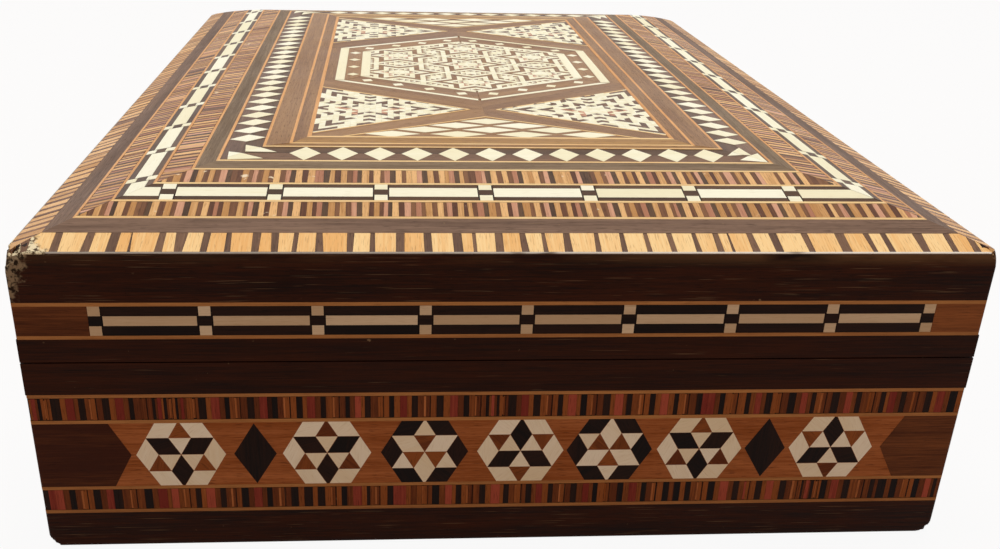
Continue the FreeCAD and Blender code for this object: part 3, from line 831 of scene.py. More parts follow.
def shell(columns: int, rows: int) -> np.ndarray:
    """Quads of a closed sheet: the upper grid's cells, the same turned over for the under grid, and a wall.

    Args:
        columns: Points along the grid.
        rows: Points across the grid.

    Returns:
        Corner numbers of the quads; the under grid follows the upper one.
    """
    index = np.arange(columns * rows).reshape(columns, rows)
    cells = np.stack([index[:-1, :-1], index[1:, :-1], index[1:, 1:], index[:-1, 1:]], axis=-1).reshape(-1, 4)
    rim = np.concatenate([index[:-1, 0], index[-1, :-1], index[:0:-1, -1], index[0, :0:-1]])
    after, low = np.roll(rim, -1), columns * rows
    wall = np.stack([rim, rim + low, after + low, after], axis=1)
    return np.concatenate([cells, cells[:, ::-1] + low, wall])


def enrol(mesh: bpy.types.Mesh, body: str, slot: str, nodes: Sequence[str]) -> bpy.types.Object:
    """Make a finished mesh a piece that rides on its body and stands for its CAD nodes.

    Args:
        mesh: The mesh, whose name the piece takes.
        body: Body that carries the piece.
        slot: Record slot of its finish; not used.
        nodes: CAD nodes that it stands for.

    Returns:
        The piece.
    """
    piece = bpy.data.objects.new(mesh.name, mesh)
    bpy.context.scene.collection.objects.link(piece)
    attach(piece, body)
    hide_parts(*nodes)
    log.info("%s: %d faces on %s", mesh.name, len(mesh.polygons), body)
    return piece


@dataclass
class Marquetry:
    """Gathers tiles and strips into one mesh, each with its timber, tone and grain map."""

    name: str
    seed: int
    polish: Polish = Polish.DULL
    uneven: float = 0.025
    scrap_area: float = 0.02
    least_share: float = 0.5
    tone_span: tuple[float, float] = (0.3, 0.7)
    crease: float = 20.0
    points: list[np.ndarray] = field(default_factory=list)
    maps: list[np.ndarray] = field(default_factory=list)
    tones: list[np.ndarray] = field(default_factory=list)
    faces: list[np.ndarray] = field(default_factory=list)
    kinds: list[np.ndarray] = field(default_factory=list)
    total: int = 0

    def __post_init__(self) -> None:
        """Start the piece's own seeded chance."""
        self.chance = np.random.default_rng(self.seed)

    def hold(self, points: np.ndarray, grain_map: np.ndarray, tones: np.ndarray) -> None:
        """Store vertices.

        Args:
            points: Their places.
            grain_map: Their places along and across the fibres.
            tones: Their tones.
        """
        self.points.append(points.reshape(-1, 3))
        self.maps.append(grain_map.reshape(-1, 2))
        self.tones.append(tones.reshape(-1))
        self.total += len(self.points[-1])

    def lay(self, place: Placer, tiles: Tiles, gap: float = 0.05, sink: float = 0.0,
            thick: float = 0.5) -> None:
        """Lay tiles as closed prisms: outlines drawn in by half the gap, at the surface and a thickness in.

        Args:
            place: Surface that carries the tiles.
            tiles: The tiles.
            gap: Glue line between neighbours.
            sink: Distance of the tiles' faces under the surface.
            thick: Thickness of the tiles.
        """
        for sides in np.unique(tiles.count):
            pick = tiles.count == sides
            flat = tiles.corners[pick][:, :sides]
            following = np.roll(flat, -1, axis=1)
            area = 0.5 * (flat[..., 0] * following[..., 1] - flat[..., 1] * following[..., 0]).sum(axis=1)
            big = np.abs(area) > self.scrap_area
            flat, area = flat[big], area[big]
            kind, angle = tiles.timber[pick][big], tiles.grain[pick][big]
            if not len(flat):
                continue
            flat = np.where((area < 0)[:, None, None], flat[:, ::-1], flat)
            middle = flat.mean(axis=1, keepdims=True)
            edge = np.roll(flat, -1, axis=1) - flat
            clear = 2 * np.abs(area) / np.sqrt((edge ** 2).sum(axis=2)).sum(axis=1)
            share = np.clip(1 - gap / 2 / clear, self.least_share, 1.0)
            flat = middle + (flat - middle) * share[:, None, None]
            fall = sink + self.chance.uniform(0, self.uneven, len(flat))
            drop = np.broadcast_to(fall[:, None], flat.shape[:2])
            top = place(flat[..., 0], flat[..., 1], drop)
            foot = place(flat[..., 0], flat[..., 1], drop + thick)
            shift = self.chance.uniform(0, GRAIN_SPAN, (len(flat), 1, 2))
            turn = np.stack([np.cos(angle), np.sin(angle)], axis=-1)[:, None]
            along, across = (flat * turn).sum(-1), (flat * turn[..., ::-1] * (-1, 1)).sum(-1)
            grain = np.stack([along, across], axis=-1) + shift
            first = self.total + np.arange(len(flat))[:, None, None] * 2 * sides
            ring = np.arange(sides)
            after = np.roll(ring, -1)
            for index in (ring[None], ring[::-1][None] + sides,
                          np.stack([ring, ring + sides, after + sides, after], axis=1)):
                self.faces.append((first + index[None]).reshape(-1, index.shape[1]))
                self.kinds.append(np.repeat(kind, len(index)))
            tone = np.repeat(self.chance.uniform(0, 1, (len(flat), 1)), 2 * sides, axis=1)
            self.hold(np.concatenate([top, foot], axis=1), np.concatenate([grain, grain], axis=1), tone)

    def strip(self, place: Placer, u: np.ndarray, v: np.ndarray, timber: Timber, sink: float = 0.0,
              thick: float = 0.6, tone: float | None = None) -> None:
        """Lay one long closed strip: a grid on the surface, the same a thickness below, and a wall between.

        Args:
            place: Surface that carries the strip.
            u: First parameter on the grid.
            v: Second parameter on the grid.
            timber: The strip's timber.
            sink: Distance of the strip's face under the surface.
            thick: Thickness of the strip.
            tone: Tone of the strip from 0 to 1, or none for a chance one.
        """
        drop = np.full(u.shape, sink)
        top, foot = place(u, v, drop), place(u, v, drop + thick)
        self.faces.append(shell(*u.shape) + self.total)
        self.kinds.append(np.full(len(self.faces[-1]), timber.number))
        grain = np.stack([u, v], axis=-1) + self.chance.uniform(0, GRAIN_SPAN, 2)
        chosen = self.chance.uniform(*self.tone_span) if tone is None else tone
        self.hold(np.stack([top, foot]), np.stack([grain, grain]), np.full((2, *u.shape), chosen))

    def build(self, body: str, slot: str, node: str) -> None:
        """Make the mesh and its piece.

        Args:
            body: Body that carries the piece.
            slot: Record slot of its finish; not used.
            node: CAD node that it stands for.
        """
        points, maps, tones = (np.concatenate(part) for part in (self.points, self.maps, self.tones))
        loops = np.concatenate([part.ravel() for part in self.faces])
        sizes = np.concatenate([np.full(len(part), part.shape[1]) for part in self.faces])
        starts = np.concatenate([[0], np.cumsum(sizes)[:-1]])
        kinds = np.concatenate(self.kinds)
        used = np.unique(kinds)
        mesh = bpy.data.meshes.new(self.name)
        mesh.vertices.add(len(points))
        mesh.vertices.foreach_set("co", (points * MM).ravel())
        mesh.loops.add(len(loops))
        mesh.loops.foreach_set("vertex_index", loops.astype(np.int32))
        mesh.polygons.add(len(sizes))
        mesh.polygons.foreach_set("loop_start", starts.astype(np.int32))
        mesh.polygons.foreach_set("material_index", np.searchsorted(used, kinds).astype(np.int32))
        mesh.uv_layers.new(name="Grain").data.foreach_set("uv", maps[loops].ravel())
        mesh.attributes.new("tone", "FLOAT", "POINT").data.foreach_set("value", tones)
        mesh.update(calc_edges=True)
        mesh.shade_smooth()
        mesh.set_sharp_from_angle(angle=math.radians(self.crease))
        for number in used:
            mesh.materials.append(list(Timber)[number].under(self.polish))
        enrol(mesh, body, slot, [node])


def columns_of(run: float, hand: int = 0) -> np.ndarray:
    """Places along a side that follow its worn ends: the left for hand -1, the right for 1, or both."""
    right = run - np.array(NEAR_CORNER)
    return {-1: -right[::-1], 0: np.concatenate([-right[::-1], right]), 1: right}[hand]


def upright_strip(piece: Marquetry, side: Side, levels: Sequence[float], timber: Timber, sink: float = 0.0,
                  foot: float = -1.0) -> None:
    """Lay one strip of a band round the sides, with rows at the levels and its foot rounded at a height."""
    u, v = np.meshgrid(columns_of(FORM.run(side)), np.asarray(levels, float), indexing="ij")
    piece.strip(UprightFace(side, foot), u, v, timber, sink)


def end_blank(piece: Marquetry, side: Side, hand: int, near: np.ndarray, levels: np.ndarray,
              tone: float) -> None:
    """Lay the plain piece at one end of a band.

    Args:
        piece: Piece that the blank belongs to.
        side: Side that carries it.
        hand: -1 for the left end, 1 for the right end.
        near: Place of its inner edge in each row.
        levels: Heights of its rows.
        tone: Its tone.
    """
    outer = np.repeat(columns_of(FORM.run(side), hand)[:, None], len(levels), axis=1)
    u = np.concatenate([outer, near[None]] if hand < 0 else [near[None], outer])
    piece.strip(UprightFace(side), u, np.broadcast_to(levels, u.shape), Timber.UMBER, tone=tone)


def slope_strip(piece: Marquetry, side: Side, start: Sequence[float], stop: Sequence[float], timber: Timber,
                sink: float = 0.0, rows: int = 4) -> None:
    """Lay one mitred strip of a band on the lid's top: straight lines between the two rectangles' sides.

    Args:
        piece: Piece that the strip belongs to.
        side: Side that carries it.
        start: Distances of the outer rectangle from the long faces and from the end faces.
        stop: Distances of the inner rectangle.
        timber: Its timber.
        sink: Distance of its face under the surface.
        rows: Number of rows across it.
    """
    own, other = (1, 0) if side.short else (0, 1)
    share = np.linspace(0.0, 1.0, rows)
    inward = start[own] + (stop[own] - start[own]) * share
    end = FORM.run(side) - start[other] - (stop[other] - start[other]) * share
    u = np.stack([-end, MITRE_ROOM - end, 0 * end, end - MITRE_ROOM, end])
    piece.strip(PillowSlope(side), u, np.broadcast_to(inward, u.shape), timber, sink)


@dataclass(frozen=True)
class SlatRun:
    """Repeating run of cross-cut slats, with chance in the widths and now and then a thin patch."""

    recipe: tuple[tuple[Timber, float], ...]
    jitter: float = 0.15
    thin: float = 0.0
    swap: float = 0.0
    lean: float = 0.0
    surplus: float = 2.2
    spare: int = 4
    stray_span: tuple[float, float] = (0.5, 1.6)
    narrowed: float = 0.45
    least: float = 0.05

    def tiles(self, start: float, stop: float, low: float, high: float, chance: np.random.Generator) -> Tiles:
        """Slats from start to stop: edges are the running sum of the jittered widths.

        Args:
            start: First edge.
            stop: Last edge.
            low: Lower edge of the band.
            high: Upper edge of the band.
            chance: Source of the seeded chance.

        Returns:
            The slats.
        """
        unit = np.array([width for _, width in self.recipe])
        kinds = np.array([timber.number for timber, _ in self.recipe])
        repeats = int((stop - start) / unit.sum() * self.surplus) + self.spare
        stray = (1 + self.jitter * chance.standard_normal(len(unit) * repeats)).clip(*self.stray_span)
        width, kind = np.tile(unit, repeats) * stray, np.tile(kinds, repeats)
        patch = np.repeat(chance.uniform(0, 1, repeats) < self.thin, len(unit))
        width = np.where(patch, width * self.narrowed, width)
        other = chance.permutation(kind)
        kind = np.where(chance.uniform(0, 1, len(kind)) < self.swap, other, kind)
        edges = np.minimum(start + np.concatenate([[0.0], np.cumsum(width)]), stop)
        tops = edges + (self.lean * chance.standard_normal(len(edges)) if self.lean else 0.0)
        corners = oblongs(edges[:-1], edges[1:], low, high)
        corners[:, 2, 0], corners[:, 3, 0] = tops[1:], tops[:-1]
        live = edges[:-1] < stop - self.least
        return Tiles.of(corners[live], kind[live], math.pi / 2)


@dataclass(frozen=True)
class ChainRun:
    """Chain of three-cell blocks joined by bone bars between dark bars."""

    cell: float
    middle_cell: float
    bar_rows: tuple[float, float]
    bone: Timber = Timber.IVORY
    # The top's dark cells default to the black drawn lighter for painted sheen.
    dark: Timber = Timber.SOOT
    least: float = 0.1

    def tiles(self, blocks: np.ndarray, start: float, stop: float, low: float, high: float) -> Tiles:
        """Cells of the blocks and bars: bars fill the room between blocks, three rows each.

        Args:
            blocks: Middles of the blocks.
            start: Left end of the chain.
            stop: Right end of the chain.
            low: Lower edge.
            high: Upper edge.

        Returns:
            The tiles.
        """
        rows = low + (high - low) * np.array([0.0, *self.bar_rows, 1.0])
        thirds = np.linspace(low, high, 4)
        outer, inner = (self.dark, self.bone, self.cell), (self.bone, self.dark, self.middle_cell)
        sets = []
        for row, (bar, cell, wide) in enumerate((outer, inner, outer)):
            left, right = blocks - wide / 2, blocks + wide / 2
            bar_left, bar_right = np.concatenate([[start], right]), np.concatenate([left, [stop]])
            live = bar_right - bar_left > self.least
            sets.append(Tiles.of(oblongs(bar_left[live], bar_right[live], rows[row], rows[row + 1]), bar))
            sets.append(Tiles.of(oblongs(left, right, thirds[row], thirds[row + 1]), cell))
        return Tiles.joined(sets)


class HexPattern(Enum):
    """Two ways the star hexagons are coloured, each also turned upside down."""

    DARK_STAR = (False, 1)
    PALE_STAR = (True, 1)
    DARK_TURNED = (False, -1)
    PALE_TURNED = (True, -1)

    def tiles(self, middle: tuple[float, float], size: float) -> Tiles:
        """Star hexagon on a triangular grid: three rhombs meet in the middle, triangles between and round.

        Args:
            middle: Middle of the hexagon.
            size: Distance from its middle to its corners.

        Returns:
            The tiles: inner rhombs, inner triangles, outer triangles and outer rhombs.
        """
        pale, way = self.value
        inner = np.array([[(0, 0), (-1, 0), (-1.5, 1), (-0.5, 1)], [(0, 0), (0.5, 1), (1.5, 1), (1, 0)],
                          [(0, 0), (-0.5, -1), (0, -2), (0.5, -1)]])
        near = np.array([[(0, 0), (0.5, 1), (-0.5, 1)], [(0, 0), (-1, 0), (-0.5, -1)],
                         [(0, 0), (0.5, -1), (1, 0)]])
        far = np.array([[(-0.5, 1), (0.5, 1), (0, 2)], [(-1, 0), (-1.5, -1), (-0.5, -1)],
                        [(1, 0), (0.5, -1), (1.5, -1)]])
        outer = np.array([[(-0.5, 1), (0, 2), (-1, 2), (-1.5, 1)], [(0.5, 1), (1.5, 1), (1, 2), (0, 2)],
                          [(-1, 0), (-1.5, 1), (-2, 0), (-1.5, -1)], [(1, 0), (1.5, -1), (2, 0), (1.5, 1)],
                          [(-0.5, -1), (-1.5, -1), (-1, -2), (0, -2)],
                          [(0.5, -1), (0, -2), (1, -2), (1.5, -1)]])
        ebony, bone, brown = Timber.EBONY, Timber.BONE, Timber.CHESTNUT
        timbers = (bone, brown, bone, ebony) if pale else (ebony, bone, brown, bone)
        grid = np.array([size / 2, size * math.sqrt(3) / 4]) * way
        return Tiles.joined([Tiles.of(shape * grid + middle, timber, np.linspace(*GRAIN_FAN, len(shape)))
                             for shape, timber in zip((inner, near, far, outer), timbers)])


@dataclass(frozen=True)
class StarField:
    """Six-pointed bone stars ringed by dark and red zigzags on a triangular grid, in millimetres."""

    dark: Timber
    spacing: int
    tip: float
    band: float
    ring: float
    gaps: float
    grid: float = 1.25
    margin: int = 8
    teeth: int = 12
    turn: float = math.pi / 6

    def tiles(self, outline: np.ndarray, middle: Sequence[float]) -> Tiles:
        """Small triangles inside an outline, coloured by the size of the star that passes through each.

        The size of a star is twice the smaller of a point's reaches along and against three directions, a
        third of a turn apart. Past the tip the sizes fall into rings, and a ring's first band is coloured.

        Args:
            outline: Convex outline, anticlockwise.
            middle: Middle of one star.

        Returns:
            The tiles: bone inside the stars and between the bands, dark or red on the bands.
        """
        wide = int(np.ptp(outline, axis=0).max() / self.grid) + self.margin
        i, j = (part.ravel() for part in np.meshgrid(np.arange(-wide, wide), np.arange(-wide, wide)))
        across, up = np.array([1.0, 0.0]), np.array([0.5, math.sqrt(0.75)])
        corner = i[:, None] * across + j[:, None] * up
        small = np.concatenate([np.stack([corner, corner + across, corner + up], axis=1),
                                np.stack([corner + across, corner + across + up, corner + up], axis=1)])
        centre = small.mean(axis=1)
        stars = self.spacing * np.array([across, up])
        steps = np.array([(a, b) for a in (-1, 0, 1) for b in (-1, 0, 1)])
        near = np.rint(centre @ np.linalg.inv(stars)) + steps[:, None]
        nearest = np.linalg.norm(centre - near @ stars, axis=2).argmin(axis=0)
        chosen = np.take_along_axis(near, nearest[None, :, None], axis=0)[0]
        away = (centre - chosen @ stars) * self.grid
        heading = np.arctan2(away[:, 1], away[:, 0])
        sides = np.pi * np.array([0.5, 7 / 6, 11 / 6])
        out = away @ np.stack([np.cos(sides), np.sin(sides)])
        beyond = 2 * np.minimum(out.max(axis=1), -out.min(axis=1)) - self.tip
        bone, dark, red = (timber.number for timber in (Timber.IVORY, self.dark, Timber.ROSE))
        sixth = np.rint(heading / (math.pi / 3)).astype(int) % 6
        first = np.array([dark, dark, dark, red, dark, red])[sixth]
        whole = np.cos(self.teeth * heading) > 2 * self.gaps - 1
        ringed = (beyond > 0) & (beyond % self.ring < self.band) & whole
        kind = np.select([ringed & (beyond < self.band), ringed], [first, dark], bone)
        c, s = math.cos(self.turn), math.sin(self.turn)
        placed = small @ np.array([[c, s], [-s, c]]) * self.grid + np.asarray(middle)
        return Tiles.of(placed, kind, heading).inside(outline)


@dataclass
class BaseVeneer:
    """Bands of veneer round the base, from the foot up, in millimetres.

    The lozenge is half its width and height, end tones are left and right, and the other pairs are for a
    short end and a long side.
    """

    levels: tuple[float, ...] = (0.0, 6.2, 6.75, 10.4, 10.95, 21.85, 22.4, 26.15, 26.7)
    foot_rows: tuple[float, ...] = (0.0, 0.04, 0.15, 0.3, 0.5, 0.9, 1.4, 2.0, 3.0)
    end_spots: tuple[float, ...] = (-48.7, -27.0, -12.3, 2.3, 16.0, 30.0, 50.7)
    hex_pitch: float = 14.3
    hex_gap: float = 20.8
    hex_size: float = 6.65
    hex_inner: tuple[int, int] = (2, 3)
    hex_outer: int = 2
    lozenge: tuple[float, float] = (3.2, 5.3)
    shift: tuple[float, float] = (1.3, 0.0)
    tips: tuple[float, float] = (57.3, 86.0)
    shoulders: tuple[float, float] = (60.2, 88.7)
    end_tones: tuple[float, float] = (0.22, 0.4)
    stripes: SlatRun = SlatRun(((Timber.EBONY, 0.95), (Timber.CHESTNUT, 0.8), (Timber.RUSSET, 1.15),
                                (Timber.CHESTNUT, 0.7), (Timber.EBONY, 0.9), (Timber.CHESTNUT, 0.9),
                                (Timber.ORANGE, 0.3), (Timber.CHESTNUT, 0.5), (Timber.STAINED, 0.15),
                                (Timber.CHESTNUT, 0.85)), 0.16, 0.1, 0.06)

    def build(self) -> None:
        """Lay every band and build its piece."""
        foot, lines = Marquetry("foot_band", 11), Marquetry("base_lines", 12)
        lower, upper = Marquetry("stripe_band_lower", 13), Marquetry("stripe_band_upper", 14)
        hexes, ground = Marquetry("star_hexagons", 15), Marquetry("hexagon_ground", 16)
        drops, ends = Marquetry("lozenges", 17), Marquetry("end_blanks", 18)
        level = self.levels
        for side in Side:
            run = FORM.run(side)
            upright_strip(foot, side, (*self.foot_rows, level[1]), Timber.STAINED, foot=0.0)
            for k in (1, 3, 5, 7):
                upright_strip(lines, side, (level[k], level[k + 1]), Timber.THREAD)
            for band, low, high in ((lower, level[2], level[3]), (upper, level[6], level[7])):
                upright_strip(band, side, (low, high), Timber.EBONY, sink=BED_SINK)
                band.lay(UprightFace(side), self.stripes.tiles(-run, run, low, high, band.chance))
            self.hexagon_band(side, hexes, ground, drops, ends)
        for piece, slot, node in ((foot, "dark_wood", "base_foot_band"),
                                  (lines, "line_wood", "base_stringing"),
                                  (lower, "striped_wood", "base_stripe_lower"),
                                  (upper, "striped_wood", "base_stripe_upper"),
                                  (hexes, "mosaic", "base_hexagon_tiles"),
                                  (ground, "brown_wood", "base_hexagon_field"),
                                  (drops, "dark_wood", "base_lozenges"),
                                  (ends, "brown_wood", "base_end_blanks")):
            piece.build("base", slot, node)

    def hexagons(self, side: Side) -> list[tuple[float, HexPattern]]:
        """Places and patterns of a side's hexagons: on a long side a middle row and two past each lozenge.

        Args:
            side: The side.

        Returns:
            Pairs of a place along the side and a pattern.
        """
        dark, pale, dark_turned, pale_turned = HexPattern
        if side.short:
            return list(zip(self.end_spots, (dark, dark, pale, dark_turned, pale_turned, dark, dark_turned)))
        inner = self.hex_inner[1]
        tails = inner * self.hex_pitch + self.hex_gap + self.hex_pitch * np.arange(self.hex_outer)
        spots = np.concatenate([-tails[::-1], self.hex_pitch * np.arange(-inner, inner + 1), tails])
        return list(zip(spots, (dark, pale, dark_turned, pale_turned) * 2 + (dark, pale, dark)))

    def hexagon_band(self, side: Side, hexes: Marquetry, ground: Marquetry, drops: Marquetry,
                     ends: Marquetry) -> None:
        """Lay one side's band of star hexagons with its ground, lozenges and pointed end blanks.

        Args:
            side: Side that carries the band.
            hexes: Piece for the hexagons.
            ground: Piece for the ground between them.
            drops: Piece for the lozenges.
            ends: Piece for the end blanks.
        """
        kind = 0 if side.short else 1
        shift, tip, shoulder = self.shift[kind], self.tips[kind], self.shoulders[kind]
        low, high = self.levels[4], self.levels[5]
        middle = (low + high) / 2
        place = UprightFace(side)
        for spot, pattern in self.hexagons(side):
            star = pattern.tiles((float(spot), middle), self.hex_size)
            hexes.lay(place, star.cut((0.0, 1.0), high).cut((0.0, -1.0), -low))
        levels = np.array([low, middle, high])
        edge = np.array([shoulder, tip, shoulder])
        u = np.stack([shift - edge, 0 * edge, shift + edge])
        ground.strip(place, u, np.broadcast_to(levels, u.shape), Timber.ORANGE, sink=GROUND_SINK)
        drop_at = (self.hex_inner[kind] * self.hex_pitch + self.hex_gap / 2) * np.array([-1.0, 1.0]) + shift
        drop = rhombs(np.stack([drop_at, np.full(2, middle)], axis=1), *self.lozenge)
        drops.lay(place, Tiles.of(drop, Timber.EBONY, math.pi / 2))
        for hand, tone in zip((-1, 1), self.end_tones):
            end_blank(ends, side, hand, shift + hand * edge, levels, tone)


@dataclass
class LidSides:
    """Bands of veneer round the lid's sides, from the low band up, in millimetres."""

    levels: tuple[float, ...] = (35.6, 36.15, 40.7, 41.25)
    end_blocks: tuple[float, ...] = (-58.8, -43.5, -27.7, -12.4, 2.2, 17.0, 32.1, 47.0, 61.5)
    end_chain: tuple[float, float] = (-59.68, 62.38)
    long_blocks: int = 13
    long_chain: float = 90.2
    block_inset: float = 0.875
    end_tones: tuple[float, float] = (0.38, 0.6)
    edge_grid: tuple[int, int] = (60, 6)
    edge_thick: float = 0.5
    chain: ChainRun = ChainRun(1.75, 2.05, (1 / 3, 2 / 3), Timber.OLD_BONE, Timber.EBONY)

    def build(self) -> None:
        """Lay every band and build its piece."""
        lines, links = Marquetry("lid_side_lines", 21), Marquetry("lid_side_links", 22)
        blanks, high = Marquetry("lid_side_ends", 23), Marquetry("lid_band_under_rim", 24)
        level = self.levels
        high_rows = (level[3], *(FORM.rim - np.array([*NEAR_CORNER[:4], FORM.edge])))
        spread = self.long_chain - self.block_inset
        long_spots = np.linspace(-spread, spread, self.long_blocks)
        for side in Side:
            run = FORM.run(side)
            start, stop = self.end_chain if side.short else (-self.long_chain, self.long_chain)
            blocks = np.array(self.end_blocks) if side.short else long_spots
            for k in (0, 2):
                upright_strip(lines, side, (level[k], level[k + 1]), Timber.THREAD)
            upright_strip(links, side, (level[1], level[2]), Timber.EBONY, sink=BED_SINK)
            chain = self.chain.tiles(blocks, start, stop, level[1], level[2])
            links.lay(UprightFace(side), chain.cut((1.0, 0.0), stop).cut((-1.0, 0.0), -start))
            for hand, near, tone in zip((-1, 1), (start, stop), self.end_tones):
                end_blank(blanks, side, hand, np.full(2, near), np.array(level[1:3]), tone)
            upright_strip(high, side, high_rows, Timber.RUBBED)
            columns, rows = self.edge_grid
            between = np.linspace(MITRE_ROOM - run, run - MITRE_ROOM, columns)
            along = np.concatenate([columns_of(run, -1), between, columns_of(run, 1)])
            u, v = np.meshgrid(along, np.linspace(0, 1, rows), indexing="ij")
            # The rim edge carries a near-white line that is partly wear and partly a painted highlight.
            high.strip(WornEdge(side), u, v, Timber.SCUFFED, thick=self.edge_thick)
        for piece, slot, node in ((lines, "line_wood", "lid_side_stringing"),
                                  (links, "mosaic", "lid_side_chain"),
                                  (blanks, "brown_wood", "lid_side_blanks"),
                                  (high, "dark_wood", "lid_high_band")):
            piece.build("lid", slot, node)


@dataclass
class LidTop:
    """Bands of veneer on the lid's top, from the rim inwards, in millimetres.

    Stripes and bands are given from and to; the other pairs are for a long side and a short end.
    """

    line: float = 0.5
    panel_line: float = 0.7
    rim_to: float = 4.35
    outer_to: float = 7.75
    stripe_outer: tuple[float, float] = (8.25, 12.1)
    chain_band: tuple[float, float] = (12.6, 17.3)
    stripe_inner: tuple[float, float] = (17.8, 22.2)
    middle_to: float = 25.55
    diamond_band: tuple[float, float] = (26.05, 32.1)
    inner_to: tuple[float, float] = (36.3, 33.9)
    frame_to: tuple[float, float] = (38.9, 37.7)
    chain: ChainRun = ChainRun(2.0, 2.3, (0.22, 0.78))
    chain_start: tuple[float, float] = (-77.22, -50.07)
    chain_pitch: tuple[float, float] = (15.63, 15.68)
    chain_count: tuple[int, int] = (11, 7)
    diamond_start: tuple[float, float] = (-60.22, -30.86)
    diamond_pitch: tuple[float, float] = (5.2, 5.96)
    diamond_count: tuple[int, int] = (24, 12)
    diamond_share: float = 0.42
    diamond_sink: float = 0.08
    # Sink of the outer half of the diamond band's ground, which is drawn in the lighter stain of painted
    # sheen.
    sheen_strip_sink: float = 0.05
    left_darts: tuple[tuple[float, float], ...] = ((-40.8, -64.2), (-40.4, -68.3), (-35.3, -68.5),
                                                   (-43.1, -67.6), (-42.8, -71.8), (-37.2, -71.3))
    right_darts: tuple[tuple[float, float], ...] = ((41.2, -64.1), (37.8, -69.0), (42.0, -68.3),
                                                    (43.6, -66.7), (39.3, -70.9), (43.7, -71.8))
    # The dark gaps between the rim blocks are drawn in the lighter stain of painted sheen.
    rim_blocks: SlatRun = SlatRun(((Timber.BLOCK, 2.8), (Timber.FADED, 0.95)), 0.24, 0.04, 0.03, 0.12)
    rim_slats: SlatRun = SlatRun(((Timber.TAN, 1.75), (Timber.SMOKED, 0.9)), 0.16, 0.04, 0.02, 0.1)
    # The slats' darkest pieces are black drawn lighter for painted sheen.
    slats: SlatRun = SlatRun(((Timber.SMOKED, 0.78), (Timber.TAN, 0.9), (Timber.SMOKED, 0.72),
                              (Timber.ROSE, 0.8), (Timber.SOOT, 0.75), (Timber.TAN, 0.95)),
                             0.14, 0.03, 0.08, 0.05)

    def build(self) -> None:
        """Lay every band and build its piece."""
        self.build_lines()
        self.build_dark()
        rim = (FORM.edge, self.rim_to)
        for name, seed, ends, longs, band, node in (
                ("rim_block_band", 31, self.rim_blocks, self.rim_slats, rim, "top_rim_blocks"),
                ("slat_band_outer", 32, self.slats, self.slats, self.stripe_outer, "top_stripe_outer"),
                ("slat_band_inner", 33, self.slats, self.slats, self.stripe_inner, "top_stripe_inner")):
            piece = Marquetry(name, seed, Polish.BRIGHT)
            for side in Side:
                half, run = FORM.run(side), ends if side.short else longs
                slope_strip(piece, side, (band[0],) * 2, (band[1],) * 2, Timber.EBONY, sink=BED_SINK)
                piece.lay(PillowSlope(side), run.tiles(-half, half, *band, piece.chance).mitred(half))
            piece.build("lid", "striped_wood", node)
        self.build_chain()
        self.build_diamonds()

    def build_lines(self) -> None:
        """Lay all the thin pale lines."""
        piece = Marquetry("top_lines", 34, Polish.BRIGHT)
        ends = (self.outer_to, self.stripe_outer[1], self.chain_band[1], self.stripe_inner[1], self.middle_to,
                self.diamond_band[1])
        lines = [((end, end), self.line) for end in ends]
        lines += [(self.inner_to, self.line), (self.frame_to, self.panel_line)]
        for side in Side:
            timber = Timber.CREAM if side.short else Timber.LINE
            for start, wide in lines:
                slope_strip(piece, side, start, (start[0] + wide, start[1] + wide), timber, rows=2)
        piece.build("lid", "line_wood", "top_stringing")

    def build_dark(self) -> None:
        """Lay the plain dark bands; the innermost two are brown across the short ends."""
        gap, middle_sheen, outer_sheen, hazel, brown = self.line, Timber.ASHEN, Timber.DUSTY, Timber.HAZEL, Timber.BROWN
        outer_from, outer_to = (self.rim_to,) * 2, (self.outer_to,) * 2
        middle_from, middle_to = (self.stripe_inner[1] + gap,) * 2, (self.middle_to,) * 2
        inner_from = (self.diamond_band[1] + gap,) * 2
        frame_from = (self.inner_to[0] + gap, self.inner_to[1] + gap)
        # The outer and middle bands are the dark stain drawn lighter and greyer: a painted sheen.
        bands = (("dark_band_outer", 35, outer_from, outer_to, outer_sheen, outer_sheen, "top_dark_outer"),
                 ("dark_band_middle", 36, middle_from, middle_to, middle_sheen, middle_sheen, "top_dark_middle"),
                 ("dark_band_inner", 37, inner_from, self.inner_to, brown, hazel, "top_dark_inner"),
                 ("dark_frame", 38, frame_from, self.frame_to, brown, hazel, "top_dark_frame"))
        for name, seed, start, stop, ends, longs, node in bands:
            piece = Marquetry(name, seed, Polish.BRIGHT if ends is brown else Polish.DULL)
            for side in Side:
                slope_strip(piece, side, start, stop, ends if side.short else longs)
            piece.build("lid", "dark_wood", node)

    def spots(self, side: Side, start: tuple[float, float], pitch: tuple[float, float],
              count: tuple[int, int]) -> np.ndarray:
        """Places along a side that run from the front end on the long sides, and from the left on the ends.

        Args:
            side: The side.
            start: First place on a long side and on an end.
            pitch: Distance between places on each.
            count: Number of places on each.

        Returns:
            The places, from left to right seen from outside.
        """
        kind = 1 if side.short else 0
        places = start[kind] + pitch[kind] * np.arange(count[kind])
        return places if side in (Side.FRONT, Side.RIGHT) else -places[::-1]

    def build_chain(self) -> None:
        """Lay the chain of blocks and bone bars, whose bars meet on the mitres."""
        piece = Marquetry("top_links", 39, Polish.BRIGHT)
        low, high = self.chain_band
        for side in Side:
            half = FORM.run(side)
            blocks = self.spots(side, self.chain_start, self.chain_pitch, self.chain_count)
            slope_strip(piece, side, (low,) * 2, (high,) * 2, Timber.EBONY, sink=BED_SINK)
            piece.lay(PillowSlope(side), self.chain.tiles(blocks, -half, half, low, high).mitred(half))
        piece.build("lid", "mosaic", "top_chain")

